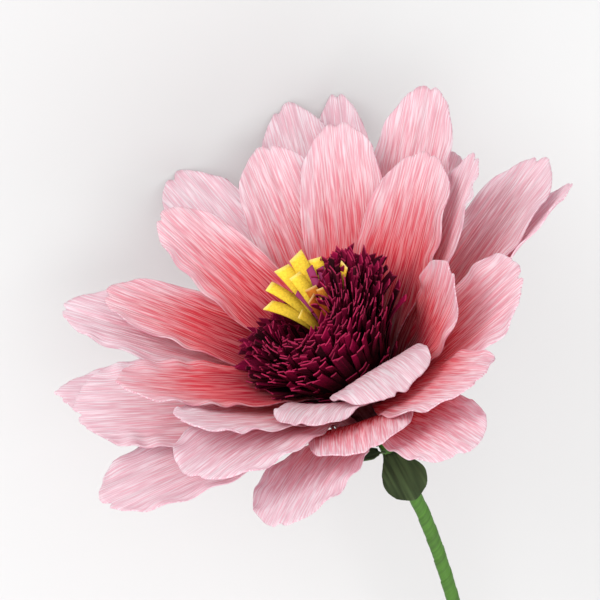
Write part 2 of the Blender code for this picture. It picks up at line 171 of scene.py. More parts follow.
# The strips: their rows, of which the last is a thin cut edge, their columns, and how each kind
# curls in degrees, slants at its end and folds along its middle
STRIP_ROWS = (0.0, 0.3, 0.6, 0.85, 0.965, 1.0)
STRIP_COLUMNS = (-0.5, 0.0, 0.5)
STRIP_WALL = 0.3
STRIP_TAPER = 0.12
STRIP_CREASE = 40.0
# Paleness of the cut ends, partly the fibres and partly a painted highlight
CUT_PALENESS_AND_HIGHLIGHT = 0.45
BURGUNDY_CURLS = ((10.0, 0.08, 0.1), (20.0, -0.12, -0.1), (-8.0, 0.14, 0.08), (28.0, 0.05, 0.14),
                  (4.0, -0.1, 0.0))
INNER_CURLS = ((16.0, 0.1, 0.1), (30.0, -0.1, 0.12), (8.0, 0.12, -0.1), (22.0, 0.0, 0.12))

# The dome: radius and height of the rows of wide shingles, how it leans, and how far the yellow
# strips press it down
SHINGLE_ROWS = ((10.2, 8.0), (11.6, 11.0), (12.8, 14.5))
SHINGLES = 21
SHINGLE_WIDTH = 1.8
SHINGLE_SPREAD = 0.8
SHINGLE_LEAN = 28.0
STRIPS_SKEW = -4.5
STRIPS_TILT = 17.0
BURGUNDY_SLIPS_UNDER = 105.0
PRESSED_BY = 8.0
PRESSED_POWER = 4
PRESSED_RADIUS = 9.0

# The yellow strips, and the inner ones that stand up among them: where they spring from, how far
# they curl and turn, how slanted their cuts are, how their rows crowd and how dark their roots are
# painted, as shade
YELLOW_ROOT_RADIUS = 4.5
YELLOW_ROOT_Z = 27.5
YELLOW_CURL = 38.0
YELLOW_TURN = 36.0
YELLOW_SLANT = 0.16
YELLOW_CROWDING = 0.7
YELLOW_ROOT_SHADE = 0.45
YELLOW_WALL = 0.35

# How the flower lies, as in the CAD model
RESTING_PETALS = ("petal_back_outer", "petal_back_left_outer")
HEADING = 30.0
REST_SAMPLES = 16
REST_START = 0.5
REST_ROUNDS = 8

# The photograph's view, in the flower's frame
VIEW_TURN = 58.0
VIEW_ROLL = 24.0
VIEW_DISTANCE = 800.0
VIEW_CENTRE = (0.0, 0.0, 35.0)
VIEW_SHIFT_RIGHT = -8.4
VIEW_SHIFT_UP = 3.9
LENS = 160.0
SENSOR = 36.0

# Lamps: name, place to the right of, above and in front of the flower, and width, in metres
LAMPS = (("key", (-1.3, 0.7, 1.3), 1.2), ("fill", (0.5, -1.1, 1.5), 2.0))
FLOOR_HALF = 3.0
WORLD_SEEN = 0.92

# Angle from the flower's axis of the burgundy fringe's side, which the petals' leans start from
PETAL_FLARE = math.degrees(math.atan2(FRINGE_RIM_RADIUS - FRINGE_WOUND_RADIUS,
                                      FRINGE_RIM_Z - FRINGE_WOUND_TOP))


class Petal(NamedTuple):
    """One petal or sepal: lengths in millimetres, angles in degrees.

    leans are the angle from the flower's axis at the foot, and then how much further than the
    flare of the burgundy fringe it leans where it has opened and at its tip. cup is the
    curvature across it. twist turns it about its own length. blush is how far up the coral dye
    runs, from 0 to 1. tip_width is the share of the width that the tip keeps.
    """
    name: str
    azimuth: float
    ring: int
    length: float
    width: float
    leans: tuple
    cup: float = 40.0
    twist: float = 0.0
    blush: float = 0.5
    foot_width: float = PETAL_FOOT_WIDTH
    tip_width: float = PETAL_TIP_WIDTH
    flare: float = PETAL_FLARE


PETALS = (
    Petal("petal_front_right_inner", -77, 0, 54, 32, (10, 4, 72), cup=-10, blush=0.1),
    Petal("petal_back_inner_right", 37, 0, 75, 33, (12, 23, 23), cup=46, blush=0.85),
    Petal("petal_left_inner_back", 122, 0, 84, 25, (12, 21, 18), cup=50, blush=0.8),
    Petal("petal_left_inner_front", -164, 0, 82, 29, (12, 26, 23), cup=36, twist=-8, blush=0.95),
    Petal("petal_right_inner", -27, 1, 59, 28, (12, 19, -1), cup=20, twist=36, tip_width=0.36, blush=0.95),
    Petal("petal_back_inner", 68, 1, 88, 29, (13, 25, 24), cup=30, blush=0.68),
    Petal("petal_left_inner", 146, 1, 84, 25, (13, 28, 30), cup=44, blush=0.95),
    Petal("petal_front_inner_left", -112, 1, 56, 28, (13, 15, 48), cup=10, twist=-10, blush=0.2),
    Petal("petal_right_inner_back", 22, 2, 79, 23, (14, 25, 22), cup=40, twist=-12, blush=0.5),
    Petal("petal_back_middle", 88, 2, 90, 29, (14, 26, 28), cup=44, blush=0.65),
    Petal("petal_left_middle", 151, 2, 95, 28, (14, 32, 33), cup=26, blush=0.3),
    Petal("petal_front_left_inner", -139, 2, 79, 29, (16, 26, 22), cup=14, twist=-10, blush=0.4),
    Petal("petal_front_right", -66, 2, 75, 33, (15, 34, 41), cup=14, blush=0.75),
    Petal("petal_back_right_middle", 50, 3, 102, 30, (15, 33, 31), cup=24, blush=0.6),
    Petal("petal_back_left_outer", 107, 3, 102, 29, (15, 34, 34), cup=40, blush=0.15),
    Petal("petal_left_outer", 180, 3, 86, 38, (15, 35, 38), cup=14, twist=-18, blush=0.3),
    Petal("petal_front_left", -133, 3, 84, 36, (16, 27, 47), cup=14, twist=-10, blush=0.3),
    Petal("petal_right_outer", -24, 3, 66, 35, (15, 29, 30), cup=20, twist=20, blush=0.65),
    Petal("petal_back_outer_left", 81, 4, 108, 27, (16, 35, 32), cup=32, blush=0.4),
    Petal("petal_left_outer_back", 168, 4, 90, 26, (16, 39, 41), cup=34, blush=0.15),
    Petal("petal_front", -96, 4, 65, 33, (16, 26, 48), cup=14, blush=0.8),
    Petal("petal_right_back_outer", 19, 4, 88, 31, (16, 40, 38), cup=26, blush=0.45),
    Petal("petal_back_outer", 72, 5, 111, 22, (17, 38, 36), cup=38, tip_width=0.42, blush=0.35),
    Petal("petal_left_front_outer", -157, 5, 88, 34, (17, 42, 48), cup=24, twist=-8, blush=0.1),
    Petal("petal_front_outer_left", -116, 5, 80, 32, (17, 42, 52), cup=20, tip_width=0.36, blush=0.1),
    Petal("petal_right_outer_back", 10, 5, 86, 25, (17, 42, 38), cup=40, twist=-24, blush=0.45),
    Petal("petal_back_outer_right", 48, 6, 85, 24, (18, 42, 38), cup=36, blush=0.7),
    Petal("petal_front_outer_right", -76, 5, 80, 28, (18, 39, 52), cup=20, blush=0.55),
)

# Strips of the yellow fringe: azimuth, lean and length, width, and share of the bright yellow, which
# is low on the strips deep in the middle to paint their shade
YELLOW_STRIPS = (
    (95, 44, 22, 4.9, 0.9),
    (111, 44, 21, 5.1, 1.0),
    (80, 43, 19, 4.6, 0.95),
    (71, 45, 18, 4.3, 0.9),
    (108, 34, 17, 4.3, 1.0),
    (127, 52, 20, 4.1, 1.0),
    (144, 53, 17, 4.6, 0.95),
    (156, 25, 9, 4.6, 0.8),
    (28, 24, 17, 3.8, 0.7),
    (100, 24, 12, 3.8, 0.1),
    (114, 14, 10, 3.5, 0.0),
    (80, 18, 11, 3.5, 0.15),
    (90, 4, 9, 3.2, 0.0),
    (66, 20, 9, 3.8, 0.1),
)

# Strips of the small burgundy roll that stand up among the yellow ones
INNER_STRIPS = (
    (88, 35, 17, 2.4, 1.0),
    (76, 37, 16, 2.2, 0.9),
    (60, 30, 12, 2.2, 0.5),
    (122, 30, 13, 2.2, 0.8),
)

SEPALS = tuple(
    Petal(name, azimuth, ring, length, width, leans, cup=cup, foot_width=SEPAL_FOOT_WIDTH,
          tip_width=SEPAL_TIP_WIDTH, flare=0.0)
    for name, azimuth, ring, length, width, leans, cup in (
        ("sepal_left", -150, 0, 18, 12, (40, 62, 60), 30),
        ("sepal_right", -20, 0, 22, 14, (40, 72, 68), 30),
        ("sepal_back", 106, 0, 22, 14, (40, 68, 66), 30),
        ("sepal_front", -86, 1, 20, 14, (50, 112, 145), -30),
        ("sepal_back_right", 46, 1, 22, 14, (40, 74, 70), 30),
    ))


def smooth(value):
    """Eases from 0 to 1, for a number or an array."""
    value = np.clip(value, 0.0, 1.0)
    return value * value * (3.0 - 2.0 * value)


def mix(first, second, share):
    return first + (second - first) * share


def blend(first, second, share):
    """A colour between two others."""
    return [mix(a, b, share) for a, b in zip(first, second)]


def compass(azimuth):
    """Unit vectors away from the flower's axis at an azimuth in degrees, and on round it."""
    angle = math.radians(azimuth)
    return (np.array((math.cos(angle), math.sin(angle), 0.0)),
            np.array((-math.sin(angle), math.cos(angle), 0.0)))


def lattice(column, row, seed):
    """A repeatable value from 0 to 1 for each point of a whole-number lattice."""
    value = np.sin(column * 127.1 + row * 311.7 + seed * 74.7) * 43758.5453
    return value - np.floor(value)


def noise(x, y, seed):
    """Smooth value noise from 0 to 1."""
    column = np.floor(x)
    row = np.floor(y)
    across = smooth(x - column)
    along = smooth(y - row)
    low = mix(lattice(column, row, seed), lattice(column + 1, row, seed), across)
    high = mix(lattice(column, row + 1, seed), lattice(column + 1, row + 1, seed), across)
    return mix(low, high, along)


def linear(code):
    """Linear RGBA of an sRGB colour written as hex."""
    values = [int(code[start:start + 2], 16) / 255.0 for start in (1, 3, 5)]
    return [value / 12.92 if value <= 0.04045 else ((value + 0.055) / 1.055) ** 2.4
            for value in values] + [1.0]


def add_node(tree, kind, inputs=None, **settings):
    """Adds a node with its settings, and sets or links its inputs: a node gives its first output."""
    node = tree.nodes.new(kind)
    for name, value in settings.items():
        setattr(node, name, value)
    for key, value in (inputs or {}).items():
        if isinstance(value, bpy.types.Node):
            value = value.outputs[0]
        if isinstance(value, bpy.types.NodeSocket):
            tree.links.new(value, node.inputs[key])
        else:
            node.inputs[key].default_value = value
    return node


# Shapes of the sheets

def lean_at(petal, along):
    """Angle from the flower's axis at a share of a petal's length."""
    foot, opened, tip = petal.leans[0], petal.leans[1] + petal.flare, petal.leans[2] + petal.flare
    opening = smooth(along / PETAL_OPENS_BY)
    ending = smooth((along - PETAL_OPENS_BY) / (1.0 - PETAL_OPENS_BY))
    return np.radians(foot + (opened - foot) * opening + (tip - opened) * ending)


def centre_line(petal, foot_radius, foot_z):
    """Points along the middle of a petal and its directions there, from foot to tip."""
    outward = compass(petal.azimuth)[0]
    lean = lean_at(petal, np.linspace(0.0, 1.0, LINE_STEPS + 1))
    ahead = np.outer(np.sin(lean), outward) + np.outer(np.cos(lean), (0.0, 0.0, 1.0))
    moves = np.cumsum(ahead[:-1], axis=0) * petal.length / LINE_STEPS
    start = outward * foot_radius + np.array((0.0, 0.0, foot_z))
    return np.vstack((start, start + moves)), ahead


def half_width(petal, along):
    """Half of a petal's width at a share of its length."""
    widening = mix(petal.foot_width, petal.width, smooth(along / PETAL_WIDEST))
    past = np.clip((along - PETAL_WIDEST) / (1.0 - PETAL_WIDEST), 0.0, 1.0)
    narrowing = mix(petal.width, petal.width * petal.tip_width, past * past)
    return np.where(along <= PETAL_WIDEST, widening, narrowing) / 2.0


def sheet_points(petal, foot_radius, foot_z, along, across):
    """Places on a petal's middle surface in millimetres, for arrays of along and across."""
    points, ahead = centre_line(petal, foot_radius, foot_z)
    off_middle = math.sin(math.radians(PETAL_TIP_ARC)) * across
    reach = along * (1.0 - PETAL_TIP_ROUND * (1.0 - np.sqrt(1.0 - off_middle ** 2)))
    place = np.clip(reach, 0.0, 1.0) * LINE_STEPS
    index = np.minimum(place.astype(int), LINE_STEPS - 1)
    share = (place - index)[..., None]
    slope = np.gradient(points, axis=0)
    middle = (mix(points[index], points[index + 1], smooth(share))
              + slope[index] * share * (1.0 - share) ** 2
              - slope[index + 1] * share ** 2 * (1.0 - share))
    forward = mix(ahead[index], ahead[index + 1], share)
    forward /= np.linalg.norm(forward, axis=-1, keepdims=True)
    sideways = np.broadcast_to(compass(petal.azimuth)[1], forward.shape)
    inward = np.cross(forward, sideways)
    turn = (math.radians(petal.twist) * smooth(reach))[..., None]
    turned = sideways * np.cos(turn) + inward * np.sin(turn)
    raised = inward * np.cos(turn) - sideways * np.sin(turn)
    half = half_width(petal, reach)
    opened = smooth(reach / PETAL_OPENS_BY)
    curvature = mix(1.0 / foot_radius, math.radians(petal.cup) / petal.width, opened)
    side = np.zeros_like(half)
    up = np.zeros_like(half)
    for number in range(SECTION_STEPS):
        angle = curvature * (number + 0.5) / SECTION_STEPS * across * half
        side += np.cos(angle) * across * half / SECTION_STEPS
        up += np.sin(angle) * across * half / SECTION_STEPS
    return middle + turned * side[..., None] + raised * up[..., None], side, reach * petal.length


def petal_foot(petal):
    """Foot radius and height of a petal."""
    return (PETAL_RING_RADIUS + petal.ring * PETAL_RING_STEP,
            -petal.ring * PETAL_RING_DROP)


def sepal_foot(sepal):
    """Foot radius and height of a sepal."""
    return SEPAL_RING_RADIUS + sepal.ring * SEPAL_RING_STEP, SEPAL_FOOT_Z


def stem_line(top):
    """Points down the stem's curve: straight through the flower, then bending to the left."""
    spacing = STEM_LENGTH / STEM_POINTS
    points = [Vector((0.0, 0.0, top)), Vector((0.0, 0.0, CALYX_BOTTOM))]
    for step in range(1, STEM_POINTS + 1):
        settled = 1.0 - math.exp(-step * spacing / STEM_BEND_LENGTH)
        bend = math.radians(mix(STEM_FIRST_BEND, STEM_LAST_BEND, settled))
        points.append(points[-1] + Vector((-math.sin(bend), 0.0, -math.cos(bend))) * spacing)
    return points


# Place of the flower in the world

def resting_turn():
    """Rotation that lays the flower on the stem's end and on two petals, as in the CAD model."""
    shares = np.linspace(0.0, 1.0, REST_SAMPLES + 1)
    along, across = np.meshgrid(mix(REST_START, 1.0, shares), mix(-1.0, 1.0, shares), indexing="ij")
    feet = [(WRAP_END_RADIUS, [stem_line(0.0)[-1]])]
    for petal in PETALS:
        if petal.name in RESTING_PETALS:
            places = sheet_points(petal, *petal_foot(petal), along, across)[0]
            feet.append((PAPER / 2.0, [Vector(place) for place in places.reshape(-1, 3)]))
    up = Vector((0.0, -1.0, 0.0))
    for _ in range(REST_ROUNDS):
        touching = [min(points, key=up.dot) - up * reach for reach, points in feet]
        normal = (touching[1] - touching[0]).cross(touching[2] - touching[0]).normalized()
        up = normal if normal.dot(up) > 0.0 else -normal
    axis = Vector((0.0, 0.0, 1.0))
    ahead = (axis - up * axis.dot(up)).normalized()
    ahead = Matrix.Rotation(math.radians(-HEADING), 3, up) @ ahead
    return Matrix((ahead.cross(up), ahead, up))


def placed():
    """Matrix from the flower's millimetres to the world's metres, from the record's stem end."""
    turn = resting_turn()
    mounts = {mount["name"]: mount for mount in frame["record"]["mounts"]}
    end = Vector(mounts["stem_end"]["pos_m"])
    shift = end - turn @ stem_line(0.0)[-1] * MM
    return Matrix.Translation(shift) @ (turn * MM).to_4x4()


PLACE = placed()


def to_world(points):
    """World places of an array of places in the flower's frame."""
    matrix = np.array(PLACE)
    return points @ matrix[:3, :3].T + matrix[:3, 3]


# Meshes

def make_object(name, vertices, faces, place_it=True):
    """A smooth-shaded object whose place is in its mesh."""
    mesh = bpy.data.meshes.new(name)
    if place_it:
        vertices = to_world(vertices)
    mesh.from_pydata(vertices.tolist(), [], faces.tolist())
    mesh.shade_smooth()
    piece = bpy.data.objects.new(name, mesh)
    bpy.context.scene.collection.objects.link(piece)
    return piece


def store(mesh, name, values):
    """Keeps one number for each vertex as an attribute."""
    attribute = mesh.attributes.new(name, "FLOAT", "POINT")
    attribute.data.foreach_set("value", np.ascontiguousarray(values, dtype=np.float32).ravel())


def store_map(mesh, across, along):
    """Keeps two lengths in millimetres for each vertex as a UV map that is MAP_LENGTH wide."""
    corners = np.empty(len(mesh.loops), dtype=np.int32)
    mesh.loops.foreach_get("vertex_index", corners)
    flat = np.stack((across.ravel()[corners], along.ravel()[corners]), axis=1) / MAP_LENGTH
    layer = mesh.uv_layers.new(name="paper")
    layer.data.foreach_set("uv", np.ascontiguousarray(flat, dtype=np.float32).ravel())


def grid_faces(rows, columns, ring=False, closed=False):
    """Quads of a grid of rows by columns points, of which each row, and the whole, may be a ring."""
    row, column = np.meshgrid(np.arange(rows if closed else rows - 1),
                              np.arange(columns if ring else columns - 1), indexing="ij")
    start, above, after = row * columns, (row + 1) % rows * columns, (column + 1) % columns
    corners = (start + column, above + column, above + after, start + after)
    return np.stack(corners, axis=-1).reshape(-1, 4)


def border(rows, columns):
    """Point numbers round the edge of a grid, in the order that its faces turn."""
    left = [row * columns for row in range(rows)]
    top = [(rows - 1) * columns + column for column in range(1, columns)]
    right = [row * columns + columns - 1 for row in range(rows - 2, -1, -1)]
    bottom = list(range(columns - 2, 0, -1))
    return np.array(left + top + right + bottom)


def sheet_grid(rows, columns):
    """Shares along and across a sheet, from foot to tip and from edge to edge."""
    return np.meshgrid(np.linspace(0.0, 1.0, rows), np.linspace(-1.0, 1.0, columns), indexing="ij")


def sheet_normal(middle):
    """Unit normals of a grid of places."""
    normal = np.cross(np.gradient(middle, axis=0), np.gradient(middle, axis=1))
    return normal / np.linalg.norm(normal, axis=-1, keepdims=True)


def thicken(middle, wall):
    """Points and faces of a sheet with a thickness, from a grid of places on its middle surface."""
    rows, columns = middle.shape[:2]
    normal = sheet_normal(middle)
    count = rows * columns
    vertices = np.vstack(((middle + normal * wall / 2).reshape(-1, 3),
                          (middle - normal * wall / 2).reshape(-1, 3)))
    edge = border(rows, columns)
    after = np.roll(edge, -1)
    rim = np.stack((edge, edge + count, after + count, after), axis=1)
    faces = grid_faces(rows, columns)
    return vertices, np.vstack((faces, faces[:, ::-1] + count, rim))


def add_sheet(name, middle, across_mm, along_mm, values):
    """A sheet of paper, with its values and its flat map in both faces."""
    count = middle.shape[0] * middle.shape[1]
    piece = make_object(name, *thicken(middle, SHEET_WALL))
    for label, value in values.items():
        store(piece.data, label, np.tile(value.ravel(), 2))
    store(piece.data, "inner_face", np.repeat((1.0, 0.0), count))
    store_map(piece.data, np.tile(across_mm.ravel(), 2) + MAP_LENGTH / 2.0, np.tile(along_mm.ravel(), 2))
    return piece


def finish_piece(piece, finish, node):
    """Gives a piece its material and body, and hides the CAD node that it stands for."""
    piece.data.materials.clear()
    piece.data.materials.append(finish)
    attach(piece, "root")
    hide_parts(node)


# Settings that a user would change

def length_setting(name, description, default, low, high):
    """A length that a user would change, in millimetres."""
    return FloatProperty(name=name, description=description + ", in millimetres", default=default,
                         min=low, max=high)


def colour_setting(name, description, code):
    """A colour that a user would change, from its sRGB hex code."""
    return FloatVectorProperty(name=name, description=description, subtype="COLOR", size=4,
                               min=0.0, max=1.0, default=linear(code))


class PetalSettings(bpy.types.PropertyGroup):
    """Crepe of the petals."""
    ridge_spacing: length_setting("Ridge spacing", "Distance between the crepe's ridges", 1.1, 0.4, 4.0)
    ridge_height: length_setting("Ridge height", "Height of the crepe's ridges", 0.34, 0.0, 1.5)
    ruffle: length_setting("Edge ruffle", "How far the stretched edges wave", 0.7, 0.0, 3.0)
    foot_colour: colour_setting("Foot colour", "Crepe at the petals' feet", "#C41232")
    coral_colour: colour_setting("Coral colour", "Crepe where the petals leave the fringe", "#F4505C")
    middle_colour: colour_setting("Middle colour", "Crepe half way up", "#FCBDCB")
    tip_colour: colour_setting("Tip colour", "Crepe at the petals' tips", "#FBDEEA")


class FringeSettings(bpy.types.PropertyGroup):
    """Cut strips of the wound centre."""
    strips: IntProperty(
        name="Strips", description="Number of burgundy strips", default=600, min=20, max=2000)
    strip_width: length_setting("Strip width", "Width of a burgundy strip", 2.3, 0.5, 8.0)
    strip_length: length_setting("Strip length", "Length of a burgundy strip", 12.5, 3.0, 30.0)
    rim_radius: length_setting("Rim radius", "Radius at the outermost strips' roots", 17.5, 10.0, 40.0)
    inner_length: length_setting("Inner strip length", "Length of an inner strip", 11.0, 5.0, 40.0)
    burgundy: colour_setting("Burgundy", "Colour of the burgundy crepe", "#800034")
    yellow: colour_setting("Yellow", "Colour of the yellow crepe", "#F2CB3C")


class StemSettings(bpy.types.PropertyGroup):
    """Tape and sepals."""
    tape_pitch: length_setting("Tape pitch", "Rise of the tape for each turn", 9.0, 2.0, 30.0)
    tape_colour: colour_setting("Tape colour", "Colour of the stem's paper tape", "#46741F")
    sepal_colour: colour_setting("Sepal colour", "Colour of the sepals' crepe", "#3A4A2C")


class StudioSettings(bpy.types.PropertyGroup):
    """Floor and lights."""
    floor_colour: colour_setting("Floor colour", "Colour of the paper floor", "#CDCDCD")
    key_power: FloatProperty(
        name="Key power", description="Power of the window-like light, in watts", default=17.0,
        min=0.0, unit="POWER")
    fill_power: FloatProperty(
        name="Fill power", description="Power of the fill light, in watts", default=26.0,
        min=0.0, unit="POWER")
    sky: FloatProperty(
        name="Sky", description="Strength of the light from all round", default=1.0, min=0.0)


# Finishes

def new_finish(name, roughness, **values):
    """A material with its tree, shader and output."""
    made = bpy.data.materials.new(name)
    made.use_nodes = True
    tree = made.node_tree
    shader = tree.nodes["Principled BSDF"]
    shader.inputs["Roughness"].default_value = roughness
    for label, value in values.items():
        shader.inputs[label.replace("_", " ")].default_value = value
    return made, tree, shader, tree.nodes["Material Output"]


def crepe_coordinates(tree, spacing, streak):
    """Paper coordinates in ridges across and streaks along, from the sheet's UV map."""
    paper = add_node(tree, "ShaderNodeUVMap", uv_map="paper")
    return add_node(tree, "ShaderNodeMapping",
                    {"Vector": paper, "Scale": (MAP_LENGTH / spacing, MAP_LENGTH / streak, 1.0)})


def coat(tree, shader, colour, relief, strength, depth):
    """Gives a shader its colour, and the paper's fine relief with its depth in millimetres."""
    bump = add_node(tree, "ShaderNodeBump", {"Height": relief, "Strength": strength, "Distance": depth * MM})
    tree.links.new(bump.outputs[0], shader.inputs["Normal"])
    tree.links.new(colour, shader.inputs["Base Color"])


def petal_finish(settings, inner):
    """Dyed crepe, 180 g/m2, machine-pleated lengthwise and pulled open by hand.

    It is matte and lets a little light through. The dye is deep coral at the foot and fades in
    streaks along the pleats; the outer face is dustier than the inner one. Shade is painted into
    the valleys between its ridges and onto the very feet of the petals.
    """
    name = "petal_crepe_inner" if inner else "petal_crepe_outer"
    made, tree, shader, output = new_finish(name, 0.85, Specular_IOR_Level=0.2)
    fine = crepe_coordinates(tree, settings.ridge_spacing * 0.42, 12.0)
    streaks = add_node(tree, "ShaderNodeTexNoise", {
        "Vector": fine, "Scale": 1.0, "Detail": 2.0, "Roughness": 0.55})
    wide = crepe_coordinates(tree, 3.4, 34.0)
    blotches = add_node(tree, "ShaderNodeTexNoise", {"Vector": wide, "Scale": 1.0, "Detail": 1.0})
    depth, ridge = (add_node(tree, "ShaderNodeAttribute", attribute_name=label).outputs["Fac"]
                    for label in ("dye", "ridge"))
    shifted = add_node(tree, "ShaderNodeMath", {0: blotches, 1: 0.16, 2: depth}, operation="MULTIPLY_ADD")
    streaked = add_node(tree, "ShaderNodeMath", {0: streaks, 1: 0.2, 2: shifted}, operation="MULTIPLY_ADD")
    centred = add_node(tree, "ShaderNodeMath", {0: streaked, 1: 0.18}, operation="SUBTRACT")
    ramp = add_node(tree, "ShaderNodeValToRGB", {"Fac": centred})
    dyes = (settings.foot_colour, settings.coral_colour, settings.middle_colour, settings.tip_colour)
    dust = [0.0 if inner else share for share in OUTER_DUST]
    foot, coral, middle, tip = (blend(dye, linear("#DDA6BA"), share) for dye, share in zip(dyes, dust))
    stops = ramp.color_ramp.elements
    # Painted shade: below the foot colour the ramp darkens half way to black, where the feet sit deep in the
    # fringe
    stops[0].position = 0.1
    stops[0].color = blend(foot, (0.0, 0.0, 0.0, 1.0), 0.5)
    stops[1].position = 1.0
    stops[1].color = tip
    for position, colour in ((0.25, foot), (0.41, coral), (0.56, blend(coral, middle, 0.5)),
                             (0.7, middle), (0.86, blend(middle, tip, 0.6))):
        stops.new(position).color = colour
    crest = add_node(tree, "ShaderNodeMapRange", {"Value": streaks, "From Min": 0.43, "From Max": 0.6})
    deep = add_node(tree, "ShaderNodeMix", {"Factor": 0.2, 6: ramp, 7: foot}, data_type="RGBA")
    bleached = add_node(tree, "ShaderNodeMapRange", {
        "Value": depth, "From Min": 0.3, "From Max": 0.75, "To Min": 0.14, "To Max": 0.46})
    pale = add_node(tree, "ShaderNodeMix", {
        "Factor": bleached, 6: ramp, 7: linear("#FFFFFF")}, data_type="RGBA")
    dyed = add_node(tree, "ShaderNodeMix", {
        "Factor": crest, 6: deep.outputs[2], 7: pale.outputs[2]}, data_type="RGBA")
    # Painted shade: the colour is darkened in the valleys between the crepe's ridges, which the mesh itself
    # raises
    valley = add_node(tree, "ShaderNodeMapRange", {"Value": ridge, "To Min": 0.86, "To Max": 1.04})
    colour = add_node(tree, "ShaderNodeVectorMath", {
        0: dyed.outputs[2], "Scale": valley}, operation="SCALE")
    coat(tree, shader, colour.outputs[0], streaks, 0.8, 0.4)
    glow = add_node(tree, "ShaderNodeBsdfTranslucent", {"Color": colour})
    paper = add_node(tree, "ShaderNodeMixShader", {0: 0.34, 1: shader, 2: glow})
    tree.links.new(paper.outputs[0], output.inputs["Surface"])
    return made


def strip_finish(name, colour, edge, deep, roughness):
    """Crepe strips cut with scissors: matte faces; cut ends paler, partly the fibres and partly a painted
    highlight; roots darkened as painted shade.

    Each strip takes its own tone, because the strips lie at all angles to the paper's pleats.
    """
    made, tree, shader, _ = new_finish(name, roughness, Specular_IOR_Level=0.1)
    tone, cut, height = (add_node(tree, "ShaderNodeAttribute", attribute_name=label).outputs["Fac"]
                         for label in ("tone", "cut", "height"))
    place = add_node(tree, "ShaderNodeTexCoord")
    grain = add_node(tree, "ShaderNodeTexNoise", {
        "Vector": place.outputs["Object"], "Scale": 1.6 / MM, "Detail": 2.0})
    toned = add_node(tree, "ShaderNodeMix", {"Factor": tone, 6: deep, 7: list(colour)}, data_type="RGBA")
    # Painted shade: each strip darkens towards its root, where the strips crowd together
    painted_root_shade = add_node(tree, "ShaderNodeMapRange", {
        "Value": height, "From Min": 0.2, "From Max": 1.0, "To Min": 0.16, "To Max": 1.1})
    grained = add_node(tree, "ShaderNodeMapRange", {"Value": grain, "From Min": 0.3, "From Max": 0.7,
        "To Min": 0.8, "To Max": 1.12})
    shade = add_node(tree, "ShaderNodeMath", {0: painted_root_shade, 1: grained}, operation="MULTIPLY")
    face = add_node(tree, "ShaderNodeVectorMath", {0: toned.outputs[2], "Scale": shade}, operation="SCALE")
    # The cut ends take the pale edge colour: partly the paper's fibres, partly a painted highlight
    whole = add_node(tree, "ShaderNodeMix", {"Factor": cut, 6: face, 7: edge}, data_type="RGBA")
    coat(tree, shader, whole.outputs[2], grain, 0.5, 0.2)
    return made


def crepe_finish(name, colour, spacing, valley, tones, surface):
    """Crepe of one colour, streaked along its pleats; painted light makes the sepals' pleat tops paler and
    their valleys darker, and the tape is darker at one side of each lap.
    """
    roughness, specular, bumpiness = surface
    made, tree, shader, _ = new_finish(name, roughness, Specular_IOR_Level=specular)
    pleats = crepe_coordinates(tree, *spacing)
    streaks = add_node(tree, "ShaderNodeTexNoise", {"Vector": pleats, "Scale": 1.0, "Detail": 3.0})
    label, weight = valley
    depth = add_node(tree, "ShaderNodeAttribute", attribute_name=label).outputs["Fac"]
    # Where the attribute is the pleats' ridge, this paints highlight on their tops and shade in their valleys
    tone = add_node(tree, "ShaderNodeMath", {0: depth, 1: weight, 2: streaks}, operation="MULTIPLY_ADD")
    dark, light, darkest, lightest = tones
    shade = add_node(tree, "ShaderNodeMapRange", {
        "Value": tone, "From Min": dark, "From Max": light, "To Min": darkest,
        "To Max": lightest})
    shaded = add_node(tree, "ShaderNodeVectorMath", {
        0: list(colour)[:3], "Scale": shade}, operation="SCALE")
    coat(tree, shader, shaded.outputs[0], streaks, bumpiness, bumpiness / 2.0)
    return made


def wire_finish():
    """Drawn mild steel wire, cut with pliers: grey, half dull, finely scratched lengthwise."""
    made, tree, shader, _ = new_finish("drawn_steel_wire", 0.4, Metallic=1.0)
    place = add_node(tree, "ShaderNodeTexCoord")
    scratches = add_node(tree, "ShaderNodeTexNoise", {
        "Vector": place.outputs["Object"], "Scale": 2.0 / MM, "Detail": 4.0})
    shade = add_node(tree, "ShaderNodeMapRange", {"Value": scratches, "To Min": 0.7, "To Max": 1.1})
    colour = add_node(tree, "ShaderNodeVectorMath", {
        0: linear("#8F8D88")[:3], "Scale": shade}, operation="SCALE")
    tree.links.new(colour.outputs[0], shader.inputs["Base Color"])
    return made


# Pieces

